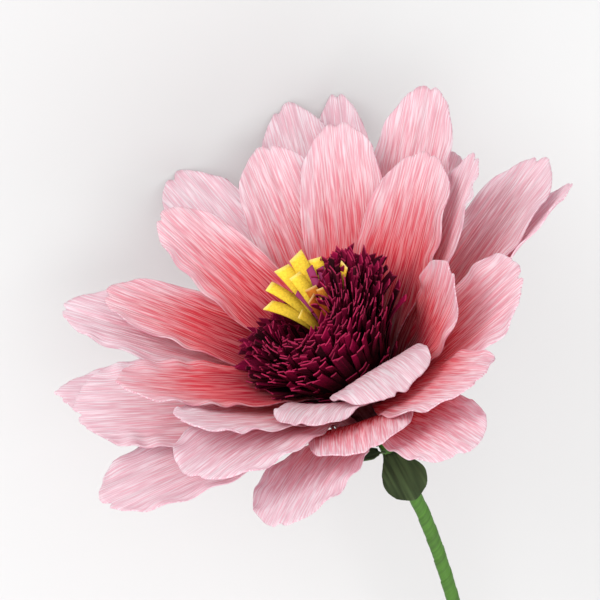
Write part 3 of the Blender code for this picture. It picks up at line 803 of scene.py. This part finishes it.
class PAPERFLOWER_OT_petals(bpy.types.Operator):
    """Adds the petals: pleated crepe sheets, cupped by hand, with torn tips"""
    bl_idname = "paper_flower.petals"
    bl_label = "Add Petals"

    def execute(self, context):
        settings = context.scene.paper_flower_petals
        inner, outer = petal_finish(settings, True), petal_finish(settings, False)
        along, across = sheet_grid(PETAL_ROWS, PETAL_COLUMNS)
        for number, petal in enumerate(PETALS):
            foot = petal_foot(petal)
            _, side, reach = sheet_points(petal, *foot, along, across)
            rags = sum(noise(side / width, reach * 0.0, number + seed) for width, seed in TIP_RAGS)
            off_notch = side + NOTCH_SPREAD * (lattice(number, 3.0, 1.0) - 0.5)
            lost = rags * TIP_RAG_DEPTH + NOTCH_DEPTH * np.exp(-(off_notch / NOTCH_WIDTH) ** 2)
            at_tip = smooth((along - TIP_STARTS) / (1.0 - TIP_STARTS))
            trimmed = along * (1.0 - lost / petal.length * at_tip)
            middle, side, reach = sheet_points(petal, *foot, trimmed, across)
            wide, long = PLEAT_DRIFT_SIZE
            warped = side + noise(side / wide, reach / long, number + 5) * PLEAT_DRIFT
            ridge = sum(share * noise(warped / settings.ridge_spacing * often, reach / long, number + seed)
                        for often, long, share, seed in PLEATS)
            free = smooth(trimmed / FREE_AT)
            edge = smooth((np.abs(across) - EDGE_STARTS) / (1.0 - EDGE_STARTS))
            sided, drifted = EDGE_SHIFTS
            shift = sided * np.sign(across) + drifted * noise(reach / EDGE_DRIFT, across * 0.0, number)
            wave = np.sin(reach / EDGE_WAVE + shift) * mix(EDGE_WAVE_AT_FOOT, 1.0, trimmed)
            lift = (ridge - 0.5) * settings.ridge_height * mix(PLEATS_AT_FOOT, 1.0, free)
            lift = lift + wave * edge * free * settings.ruffle
            wide, long = CRUMPLE_SIZE
            lift = lift + (noise(side / wide, reach / long, number + 21) - 0.5) * CRUMPLE * free
            middle = middle + sheet_normal(middle) * lift[..., None]
            piece = add_sheet(petal.name + "_crepe", middle, side, reach, {
                "ridge": ridge,
                "dye": trimmed + (0.5 - petal.blush) * BLUSH_SHIFT + edge * free * EDGE_BLEACH})
            finish_piece(piece, inner, petal.name)
            piece.data.materials.append(outer)
            count = (PETAL_ROWS - 1) * (PETAL_COLUMNS - 1)
            slots = np.ones(len(piece.data.polygons), dtype=np.int32)
            slots[:count] = 0
            piece.data.polygons.foreach_set("material_index", slots)
        return {"FINISHED"}


class PAPERFLOWER_OT_sepals(bpy.types.Operator):
    """Adds the sepals round the top of the stem"""
    bl_idname = "paper_flower.sepals"
    bl_label = "Add Sepals"

    def execute(self, context):
        # Dark olive crepe, pleated lengthwise and matte, with painted highlight on the pleat tops and painted
        # shade in the valleys
        finish = crepe_finish("sepal_crepe", context.scene.paper_flower_stem.sepal_colour, (1.1, 12.0),
                              ("ridge", 1.0), (0.5, 1.5, 0.55, 1.4), (0.85, 0.25, 0.6))
        along, across = sheet_grid(SEPAL_ROWS, SEPAL_COLUMNS)
        for number, sepal in enumerate(SEPALS):
            middle, side, reach = sheet_points(sepal, *sepal_foot(sepal), along, across)
            wide, long = SEPAL_PLEAT_SIZE
            ridge = noise(side / wide, reach / long, number + 60)
            wide, long = SEPAL_CRUMPLE_SIZE
            crumple = (noise(side / wide, reach / long, number) - 0.5) * smooth(along * 2.0)
            lift = (ridge - 0.5) * SEPAL_PLEAT_HEIGHT + crumple
            middle = middle + sheet_normal(middle) * lift[..., None]
            piece = add_sheet(sepal.name + "_crepe", middle, side, reach, {"ridge": ridge})
            finish_piece(piece, finish, sepal.name)
        return {"FINISHED"}


class PAPERFLOWER_OT_stem(bpy.types.Operator):
    """Adds the tape wound round the wire, and finishes the wire"""
    bl_idname = "paper_flower.stem"
    bl_label = "Add Stem"

    def execute(self, context):
        settings = context.scene.paper_flower_stem
        knots = np.array([tuple(point) for point in stem_line(WRAP_TOP)])
        lengths = np.concatenate(((0.0,), np.cumsum(np.linalg.norm(np.diff(knots, axis=0), axis=1))))
        reach = np.linspace(0.0, lengths[-1], WRAP_ROWS)
        middle = np.stack([np.interp(reach, lengths, knots[:, axis]) for axis in range(3)], axis=1)
        for _ in range(WRAP_SMOOTHINGS):
            middle[1:-1] = (middle[:-2] + middle[1:-1] * 2.0 + middle[2:]) / 4.0
        ahead = np.gradient(middle, axis=0)
        ahead /= np.linalg.norm(ahead, axis=1, keepdims=True)
        side = np.cross(ahead, (0.0, 1.0, 0.0))
        side /= np.linalg.norm(side, axis=1, keepdims=True)
        front = np.cross(side, ahead)
        turn = np.linspace(0.0, 2.0 * math.pi, WRAP_COLUMNS, endpoint=False)
        wound = reach[:, None] / settings.tape_pitch + turn[None, :] / (2.0 * math.pi)
        lap = wound - np.floor(wound)
        radius = mix(WRAP_TOP_RADIUS, WRAP_END_RADIUS, reach / lengths[-1])[:, None] - WRAP_INSET
        wrinkle = noise(lap * settings.tape_pitch / TAPE_WRINKLE_SIZE, wound * 2.0, 3.0)
        outer = radius + TAPE_STEP * (1.0 - lap) + TAPE_WRINKLE * wrinkle
        spokes = side[:, None] * np.cos(turn)[:, None] + front[:, None] * np.sin(turn)[:, None]
        rings = middle[:, None] + spokes * outer[..., None]
        bore = middle[:, None] + spokes * WRAP_BORE_RADIUS
        count = WRAP_ROWS * WRAP_COLUMNS
        skin = grid_faces(WRAP_ROWS, WRAP_COLUMNS, ring=True)[:, TURNED_OVER]
        inside = skin[:, ::-1] + count
        ring = np.arange(WRAP_COLUMNS)
        after = np.roll(ring, -1)
        top = np.stack((ring, ring + count, after + count, after), axis=1)
        end = top[:, TURNED_OVER] + count - WRAP_COLUMNS
        vertices = np.vstack((rings.reshape(-1, 3), bore.reshape(-1, 3)))
        piece = make_object("stem_tape", vertices, np.vstack((skin, inside, top, end)))
        store(piece.data, "lap", np.tile(lap.ravel(), 2))
        wound_length = wound * 2.0 * math.pi * WRAP_TOP_RADIUS % MAP_LENGTH
        store_map(piece.data, np.tile(lap.ravel() * settings.tape_pitch, 2), np.tile(wound_length.ravel(), 2))
        # Stretched floral tape: waxed green crepe, slightly shiny, streaked along its winding
        finish = crepe_finish("stem_tape", settings.tape_colour, (0.9, 14.0), ("lap", 0.16),
                              (0.3, 1.0, 0.55, 1.3), (0.6, 0.4, 0.4))
        finish_piece(piece, finish, "stem_wrap")
        wire = frame["nodes"]["stem_wire"]
        wire.data.materials.clear()
        wire.data.materials.append(wire_finish())
        return {"FINISHED"}


def cut_edge(along):
    """How pale a strip is at each share of its length: only its cut end is paler, partly its fibres and
    partly a painted highlight.
    """
    return smooth((along - STRIP_ROWS[-2]) / (1.0 - STRIP_ROWS[-2])) * CUT_PALENESS_AND_HIGHLIGHT


def strip_kinds(name, width, length, curls):
    """A collection of cut strips, standing on the origin along +Z, for the fringes to repeat."""
    kinds = bpy.data.collections.new(name)
    along, across = np.meshgrid(STRIP_ROWS, STRIP_COLUMNS, indexing="ij")
    for number, (curl, slant, fold) in enumerate(curls):
        bend = math.radians(curl) * np.maximum(along, 0.02)
        reach = length * (along + slant * across * along ** 3)
        middle = np.stack((across * width * (1.0 - STRIP_TAPER * (1.0 - along)),
                           -reach * np.sin(bend / 2.0) + fold * np.abs(across) * width,
                           reach * np.cos(bend / 2.0)), axis=-1)
        vertices, faces = thicken(middle, STRIP_WALL)
        mesh = bpy.data.meshes.new(f"{name}_{number}")
        mesh.from_pydata((vertices * MM).tolist(), [], faces.tolist())
        store(mesh, "height", np.tile(along.ravel(), 2))
        store(mesh, "cut", np.tile(cut_edge(along).ravel(), 2))
        kinds.objects.link(bpy.data.objects.new(f"{name}_{number}", mesh))
    return kinds


def add_strips(name, rows, wall, seed):
    """One mesh of strips that spring from a ring, each at its own azimuth and lean."""
    shares = np.linspace(0.0, 1.0, 2 * len(STRIP_ROWS) - 1) ** YELLOW_CROWDING
    along, across = np.meshgrid(shares, STRIP_COLUMNS, indexing="ij")
    steps = np.gradient(along, axis=0)
    points, quads, tones = [], [], []
    for number, (azimuth, lean, length, width, bright) in enumerate(rows):
        outward, round_way = compass(azimuth)
        leaning = np.radians(lean + (along - 0.5) * YELLOW_CURL)
        moves = np.cumsum(steps * np.sin(leaning), axis=0)[..., None] * outward
        rises = np.cumsum(steps * np.cos(leaning), axis=0)[..., None] * (0.0, 0.0, 1.0)
        turn = math.radians(YELLOW_TURN * (lattice(number, seed, 2.0) - 0.5))
        flat = math.cos(turn) * round_way + math.sin(turn) * (math.cos(math.radians(lean)) * outward)
        slant = YELLOW_SLANT * (lattice(number, seed, 6.0) - 0.5) * across[..., None] * along[..., None] ** 4
        root = outward * YELLOW_ROOT_RADIUS + (0.0, 0.0, YELLOW_ROOT_Z)
        middle = root + (moves + rises) * length * (1.0 + slant) + flat * across[..., None] * width
        vertices, faces = thicken(middle, wall)
        quads.append(faces + sum(len(part) for part in points))
        points.append(vertices)
        tones.append(np.full(len(vertices), bright))
    piece = make_object(name, np.vstack(points), np.vstack(quads))
    store(piece.data, "height", np.tile(mix(YELLOW_ROOT_SHADE, 1.0, along).ravel(), 2 * len(rows)))
    store(piece.data, "cut", np.tile(cut_edge(along).ravel(), 2 * len(rows)))
    store(piece.data, "tone", np.concatenate(tones))
    return piece


def drop_kinds(kinds):
    """Removes the pattern strips once a fringe is made."""
    for piece in list(kinds.objects):
        bpy.data.meshes.remove(piece.data)
    bpy.data.collections.remove(kinds)


FRINGE_INPUTS = (
    ("Strips", "NodeSocketCollection", None),
    ("Count", "NodeSocketInt", 560),
    ("Inner Radius", "NodeSocketFloat", 7.0),
    ("Outer Radius", "NodeSocketFloat", 22.0),
    ("Sweep", "NodeSocketFloat", 60.0),
    ("Root Height", "NodeSocketFloat", 14.0),
    ("Dome Rise", "NodeSocketFloat", 6.0),
    ("Inner Lean", "NodeSocketFloat", 0.0),
    ("Outer Lean", "NodeSocketFloat", 1.2),
    ("Front Share", "NodeSocketFloat", 0.3),
    ("Untidiness", "NodeSocketFloat", 0.2),
    ("Seed", "NodeSocketInt", 1),
    ("Finish", "NodeSocketMaterial", None),
)


def fringe_tree():
    """Geometry Nodes that wind strips round the axis, fanning them out over a dome."""
    tree = bpy.data.node_groups.new("wound_fringe", "GeometryNodeTree")
    for label, kind, value in FRINGE_INPUTS:
        socket = tree.interface.new_socket(label, in_out="INPUT", socket_type=kind)
        if value is not None:
            socket.default_value = value
    tree.interface.new_socket("Geometry", in_out="OUTPUT", socket_type="NodeSocketGeometry")
    given = add_node(tree, "NodeGroupInput").outputs
    index = add_node(tree, "GeometryNodeInputIndex")
    share = add_node(tree, "ShaderNodeMath", {0: index, 1: given["Count"]}, operation="DIVIDE")
    inner, outer = (add_node(tree, "ShaderNodeMath", {0: given[label], 1: 2.0}, operation="POWER")
                    for label in ("Inner Radius", "Outer Radius"))
    spread = add_node(tree, "ShaderNodeMath", {0: outer, 1: inner}, operation="SUBTRACT")
    square = add_node(tree, "ShaderNodeMath", {0: spread, 1: share, 2: inner}, operation="MULTIPLY_ADD")
    radius = add_node(tree, "ShaderNodeMath", {0: square}, operation="SQRT")
    out = add_node(tree, "ShaderNodeMapRange", {
        "Value": radius, "From Min": given["Inner Radius"], "From Max": given["Outer Radius"]})
    angle = add_node(tree, "ShaderNodeMath", {0: given["Sweep"], 1: out}, operation="MULTIPLY")
    cosine, sine = (add_node(tree, "ShaderNodeMath", {0: angle}, operation=way) for way in ("COSINE", "SINE"))
    outward = add_node(tree, "ShaderNodeCombineXYZ", {"X": cosine, "Y": sine})
    backwards = add_node(tree, "ShaderNodeMath", {0: sine, 1: -1.0}, operation="MULTIPLY")
    round_way = add_node(tree, "ShaderNodeCombineXYZ", {"X": backwards, "Y": cosine})
    dome = add_node(tree, "ShaderNodeFloatCurve", {"Value": out})
    points = dome.mapping.curves[0].points
    points[0].location = (0.0, 0.35)
    points[1].location = (1.0, 0.15)
    points.new(0.5, 1.0)
    dome.mapping.update()
    height = add_node(tree, "ShaderNodeMath", {
        0: dome, 1: given["Dome Rise"], 2: given["Root Height"]}, operation="MULTIPLY_ADD")
    flat = add_node(tree, "ShaderNodeVectorMath", {0: outward, "Scale": radius}, operation="SCALE")
    tall = add_node(tree, "ShaderNodeCombineXYZ", {"Z": height})
    place = add_node(tree, "ShaderNodeVectorMath", {0: flat, 1: tall}, operation="ADD")
    metres = add_node(tree, "ShaderNodeVectorMath", {0: place, "Scale": MM}, operation="SCALE")
    roots = add_node(tree, "GeometryNodePoints", {"Count": given["Count"], "Position": metres})
    lean = add_node(tree, "ShaderNodeMapRange", {
        "Value": out, "To Min": given["Inner Lean"], "To Max": given["Outer Lean"]})
    kept = add_node(tree, "ShaderNodeMapRange", {
        "Value": sine, "From Min": -1.0, "From Max": 0.4, "To Min": given["Front Share"]})
    eased = add_node(tree, "ShaderNodeMath", {0: lean, 1: kept}, operation="MULTIPLY")
    upright, over = (add_node(tree, "ShaderNodeMath", {0: eased}, operation=way)
                     for way in ("COSINE", "SINE"))
    leaning = add_node(tree, "ShaderNodeVectorMath", {0: outward, "Scale": over}, operation="SCALE")
    rising = add_node(tree, "ShaderNodeCombineXYZ", {"Z": upright})
    ahead = add_node(tree, "ShaderNodeVectorMath", {0: leaning, 1: rising}, operation="ADD")
    stood = add_node(tree, "FunctionNodeAxesToRotation", {
        "Primary Axis": ahead, "Secondary Axis": round_way},
        primary_axis="Z", secondary_axis="X")
    untidy = add_node(tree, "FunctionNodeRandomValue", {
        0: (-1.0, -0.8, -1.2), 1: (1.0, 0.8, 1.2), "Seed": given["Seed"]}, data_type="FLOAT_VECTOR")
    tilts = add_node(tree, "ShaderNodeVectorMath", {
        0: untidy, "Scale": given["Untidiness"]}, operation="SCALE")
    tilted = add_node(tree, "FunctionNodeEulerToRotation", {"Euler": tilts})
    turned = add_node(tree, "FunctionNodeRotateRotation", {
        "Rotation": stood, "Rotate By": tilted}, rotation_space="LOCAL")
    size_seed, kind_seed, tone_seed = (
        add_node(tree, "ShaderNodeMath", {0: given["Seed"], 1: step}, operation="ADD")
        for step in (17.0, 31.0, 47.0))
    sizes = add_node(tree, "FunctionNodeRandomValue", {
        0: (0.78, 1.0, 0.82), 1: (1.12, 1.0, 1.15), "Seed": size_seed}, data_type="FLOAT_VECTOR")
    strips = add_node(tree, "GeometryNodeCollectionInfo", {
        "Collection": given["Strips"], "Separate Children": True, "Reset Children": True})
    which = add_node(tree, "FunctionNodeRandomValue", {4: 0, 5: 100, "Seed": kind_seed}, data_type="INT")
    placed_strips = add_node(tree, "GeometryNodeInstanceOnPoints", {
        "Points": roots, "Instance": strips, "Pick Instance": True,
        "Instance Index": which.outputs[2], "Rotation": turned, "Scale": sizes})
    tones = add_node(tree, "FunctionNodeRandomValue", {"Seed": tone_seed}, data_type="FLOAT")
    toned = add_node(tree, "GeometryNodeStoreNamedAttribute", {
        "Geometry": placed_strips, "Name": "tone", 3: tones.outputs[1]},
        data_type="FLOAT", domain="INSTANCE")
    real = add_node(tree, "GeometryNodeRealizeInstances", {"Geometry": toned})
    finished = add_node(tree, "GeometryNodeSetMaterial", {"Geometry": real, "Material": given["Finish"]})
    result = add_node(tree, "NodeGroupOutput")
    tree.links.new(finished.outputs[0], result.inputs["Geometry"])
    return tree


def dome_place(points):
    """Raises the fringe's dome on its high side, and presses it down under the yellow strips."""
    radius = np.hypot(points[:, 0], points[:, 1])
    azimuth = np.arctan2(points[:, 1], points[:, 0])
    height = np.clip((points[:, 2] - FRINGE_WOUND_TOP) / (FRINGE_RIM_Z - FRINGE_WOUND_TOP), 0.0, 1.3)
    high = np.cos(azimuth - math.radians(FRINGE_HIGH_SIDE))
    raised = math.tan(math.radians(STRIPS_TILT)) * radius * high
    under = np.clip(np.cos(azimuth - math.radians(BURGUNDY_SLIPS_UNDER)), 0.0, 1.0) ** PRESSED_POWER
    moved = points.copy()
    moved[:, 0] += STRIPS_SKEW * height
    pressed = PRESSED_BY * under * smooth(radius / PRESSED_RADIUS)
    moved[:, 2] += (raised - pressed) * np.minimum(height, 1.0)
    return moved


def wind_fringe(name, tree, values):
    """A mesh of strips wound by the tree with these input values, in its place in the world."""
    holder = bpy.data.objects.new(name, bpy.data.meshes.new(name))
    bpy.context.scene.collection.objects.link(holder)
    winding = holder.modifiers.new("winding", "NODES")
    winding.node_group = tree
    for item in tree.interface.items_tree:
        if item.in_out == "INPUT" and item.name in values:
            winding[item.identifier] = values[item.name]
    graph = bpy.context.evaluated_depsgraph_get()
    mesh = bpy.data.meshes.new_from_object(holder.evaluated_get(graph))
    holder.modifiers.remove(winding)
    spare = holder.data
    holder.data = mesh
    bpy.data.meshes.remove(spare)
    places = np.empty(len(mesh.vertices) * 3)
    mesh.vertices.foreach_get("co", places)
    mesh.vertices.foreach_set("co", to_world(dome_place(places.reshape(-1, 3) / MM)).ravel())
    mesh.shade_smooth()
    mesh.set_sharp_from_angle(angle=math.radians(STRIP_CREASE))
    return holder


def lathe(name, outline, columns):
    """A closed turned shape from an outline of (radius, height) points that runs outside up."""
    turn = np.linspace(0.0, 2.0 * math.pi, columns, endpoint=False)
    outline = np.array(outline)
    rows = len(outline)
    vertices = np.stack((outline[:, None, 0] * np.cos(turn), outline[:, None, 0] * np.sin(turn),
                         np.repeat(outline[:, 1:], columns, axis=1)), axis=-1).reshape(-1, 3)
    faces = grid_faces(rows, columns, ring=True, closed=True)[:, TURNED_OVER]
    piece = make_object(name, dome_place(vertices), faces)
    high = np.clip((vertices[:, 2] - FRINGE_WOUND_TOP) / (CORE_CREST_Z - FRINGE_WOUND_TOP), 0.0, 1.0)
    # Painted shade: the core stays nearly black, standing in for the dark gaps between the strips
    for label, share in (("height", CORE_PAINTED_SHADE), ("cut", 0.0), ("tone", CORE_PAINTED_SHADE)):
        store(piece.data, label, high * share)
    return piece


def join(pieces, name):
    """One object of several meshes that share their finish."""
    with bpy.context.temp_override(active_object=pieces[0], selected_editable_objects=pieces):
        bpy.ops.object.join()
    pieces[0].name = name
    return pieces[0]


class PAPERFLOWER_OT_burgundy_fringe(bpy.types.Operator):
    """Adds the burgundy fringe, wound outwards into a dome of cut strips"""
    bl_idname = "paper_flower.burgundy_fringe"
    bl_label = "Add Burgundy Fringe"

    def execute(self, context):
        settings = context.scene.paper_flower_fringe
        finish = strip_finish("burgundy_crepe", settings.burgundy, linear("#CC3864"), linear("#26000A"),
                              0.85)
        tree = fringe_tree()
        kinds = strip_kinds("burgundy_strips", settings.strip_width, settings.strip_length, BURGUNDY_CURLS)
        dome = wind_fringe("burgundy_dome", tree, {
            "Strips": kinds, "Count": settings.strips, "Inner Radius": 8.2,
            "Outer Radius": settings.rim_radius, "Sweep": 2.0 * math.pi * 11.0, "Root Height": 20.0,
            "Dome Rise": 8.0, "Inner Lean": math.radians(-6.0), "Outer Lean": math.radians(66.0),
            "Untidiness": 0.15, "Seed": 3, "Finish": finish})
        drop_kinds(kinds)
        wide = strip_kinds("shingle_strips", settings.strip_width * SHINGLE_WIDTH, settings.strip_length,
                           BURGUNDY_CURLS)
        lean = math.radians(SHINGLE_LEAN)
        shingles = [wind_fringe("burgundy_shingles", tree, {
            "Strips": wide, "Count": SHINGLES, "Inner Radius": radius,
            "Outer Radius": radius + SHINGLE_SPREAD, "Sweep": 2.0 * math.pi, "Root Height": height,
            "Dome Rise": 0.0, "Inner Lean": lean, "Outer Lean": lean, "Front Share": 0.8,
            "Untidiness": 0.1, "Seed": 11 + number, "Finish": finish})
            for number, (radius, height) in enumerate(SHINGLE_ROWS)]
        drop_kinds(wide)
        outline = [(CORE_BORE, FRINGE_BOTTOM), (FRINGE_WOUND_RADIUS, FRINGE_BOTTOM),
                   (FRINGE_WOUND_RADIUS, FRINGE_WOUND_TOP), (CORE_RIM_RADIUS, CORE_RIM_Z),
                   (CORE_CREST_RADIUS, CORE_CREST_Z), (CORE_BORE, CORE_BORE_Z)]
        core = lathe("burgundy_core", outline, CORE_COLUMNS)
        core.data.materials.append(finish)
        piece = join([dome, *shingles, core], "burgundy_fringe")
        finish_piece(piece, finish, "fringe_roll")
        return {"FINISHED"}


class PAPERFLOWER_OT_middle_fringes(bpy.types.Operator):
    """Adds the yellow fringe and the small burgundy roll in the middle"""
    bl_idname = "paper_flower.middle_fringes"
    bl_label = "Add Middle Fringes"

    def execute(self, context):
        settings = context.scene.paper_flower_fringe
        tree = bpy.data.node_groups["wound_fringe"]
        # The deep orange-brown stands in for shade on the yellow strips low in the middle
        yellow = strip_finish("yellow_crepe", settings.yellow, linear("#FBEFA6"), linear("#B4581C"), 0.75)
        burgundy = bpy.data.materials["burgundy_crepe"]
        piece = add_strips("yellow_fringe_crepe", YELLOW_STRIPS, YELLOW_WALL, 5)
        finish_piece(piece, yellow, "yellow_fringe")
        kinds = strip_kinds("inner_strips", 2.2, settings.inner_length, INNER_CURLS)
        roll = wind_fringe("inner_roll", tree, {
            "Strips": kinds, "Count": 30, "Inner Radius": 1.2, "Outer Radius": 4.0,
            "Sweep": math.radians(1080.0), "Root Height": 17.0, "Dome Rise": 3.0,
            "Inner Lean": math.radians(2.0), "Outer Lean": math.radians(22.0), "Untidiness": 0.14,
            "Seed": 8, "Finish": burgundy})
        drop_kinds(kinds)
        raised = add_strips("inner_raised", INNER_STRIPS, STRIP_WALL, 9)
        raised.data.materials.append(burgundy)
        piece = join([roll, raised], "inner_fringe_crepe")
        finish_piece(piece, burgundy, "inner_fringe")
        return {"FINISHED"}


class PAPERFLOWER_OT_studio(bpy.types.Operator):
    """Adds the paper floor, the soft lights and the camera"""
    bl_idname = "paper_flower.studio"
    bl_label = "Add Studio"

    def execute(self, context):
        settings = context.scene.paper_flower_studio
        scene = context.scene
        scene.view_settings.view_transform = "Standard"
        turn, roll = math.radians(VIEW_TURN), math.radians(VIEW_ROLL)
        view = Vector((0.0, -math.sin(turn), math.cos(turn)))
        flat_right = Vector((1.0, 0.0, 0.0))
        flat_up = Vector((0.0, math.cos(turn), math.sin(turn)))
        right = flat_right * math.cos(roll) - flat_up * math.sin(roll)
        up = flat_right * math.sin(roll) + flat_up * math.cos(roll)
        centre = Vector(VIEW_CENTRE) + right * VIEW_SHIFT_RIGHT + up * VIEW_SHIFT_UP
        axes = Matrix((right, up, view)).transposed()
        turned = resting_turn() @ axes
        lens = bpy.data.cameras.new("camera")
        lens.lens = LENS
        lens.sensor_width = SENSOR
        camera = bpy.data.objects.new("camera", lens)
        scene.collection.objects.link(camera)
        camera.matrix_world = Matrix.Translation(PLACE @ (centre + view * VIEW_DISTANCE)) @ turned.to_4x4()
        scene.camera = camera
        middle = PLACE @ centre
        for name, place, size in LAMPS:
            lamp = bpy.data.lights.new(name + "_light", "AREA")
            lamp.size = size
            lamp.energy = getattr(settings, name + "_power")
            holder = bpy.data.objects.new(name + "_light", lamp)
            scene.collection.objects.link(holder)
            holder.location = middle + turned @ Vector(place)
            holder.rotation_euler = (holder.location - middle).to_track_quat("Z", "Y").to_euler()
        # Matte white paper sheet
        floor, _, shader, _ = new_finish("floor_paper", 0.9, Specular_IOR_Level=0.1)
        shader.inputs["Base Color"].default_value = settings.floor_colour
        corners = [(x * FLOOR_HALF, y * FLOOR_HALF, 0.0) for x, y in ((-1, -1), (1, -1), (1, 1), (-1, 1))]
        ground = make_object("floor", np.array(corners), np.array(((0, 1, 2, 3),)), False)
        ground.data.materials.append(floor)
        world = bpy.data.worlds.new("studio")
        world.use_nodes = True
        scene.world = world
        back = world.node_tree.nodes["Background"]
        ray = add_node(world.node_tree, "ShaderNodeLightPath")
        shown = add_node(world.node_tree, "ShaderNodeMath", {
            0: ray.outputs["Is Camera Ray"], 1: ray.outputs["Is Glossy Ray"]}, operation="MAXIMUM")
        strength = add_node(world.node_tree, "ShaderNodeMapRange", {
            "Value": shown, "To Min": settings.sky, "To Max": WORLD_SEEN})
        world.node_tree.links.new(strength.outputs[0], back.inputs["Strength"])
        back.inputs["Color"].default_value = (1.0, 1.0, 1.0, 1.0)
        return {"FINISHED"}


class PAPERFLOWER_PT_panel(bpy.types.Panel):
    """Lists the flower's pieces in the sidebar"""
    bl_idname = "PAPERFLOWER_PT_panel"
    bl_label = "Paper Flower"
    bl_space_type = "VIEW_3D"
    bl_region_type = "UI"
    bl_category = "Paper Flower"

    def draw(self, context):
        for group in GROUPS:
            settings = getattr(context.scene, group)
            for label in settings.bl_rna.properties.keys():
                if label not in ("rna_type", "name"):
                    self.layout.prop(settings, label)
        for operator in OPERATORS:
            self.layout.operator(operator.bl_idname)


GROUPS = {
    "paper_flower_petals": PetalSettings,
    "paper_flower_fringe": FringeSettings,
    "paper_flower_stem": StemSettings,
    "paper_flower_studio": StudioSettings,
}
OPERATORS = (
    PAPERFLOWER_OT_petals,
    PAPERFLOWER_OT_burgundy_fringe,
    PAPERFLOWER_OT_middle_fringes,
    PAPERFLOWER_OT_sepals,
    PAPERFLOWER_OT_stem,
    PAPERFLOWER_OT_studio,
)
CLASSES = (*GROUPS.values(), *OPERATORS, PAPERFLOWER_PT_panel)


def register():
    for kind in CLASSES:
        bpy.utils.register_class(kind)
    for name, kind in GROUPS.items():
        setattr(bpy.types.Scene, name, PointerProperty(type=kind))


def unregister():
    for name in GROUPS:
        delattr(bpy.types.Scene, name)
    for kind in reversed(CLASSES):
        bpy.utils.unregister_class(kind)


def main():
    register()
    bpy.ops.paper_flower.petals()
    bpy.ops.paper_flower.burgundy_fringe()
    bpy.ops.paper_flower.middle_fringes()
    bpy.ops.paper_flower.sepals()
    bpy.ops.paper_flower.stem()
    bpy.ops.paper_flower.studio()


if __name__ == "__main__":
    main()
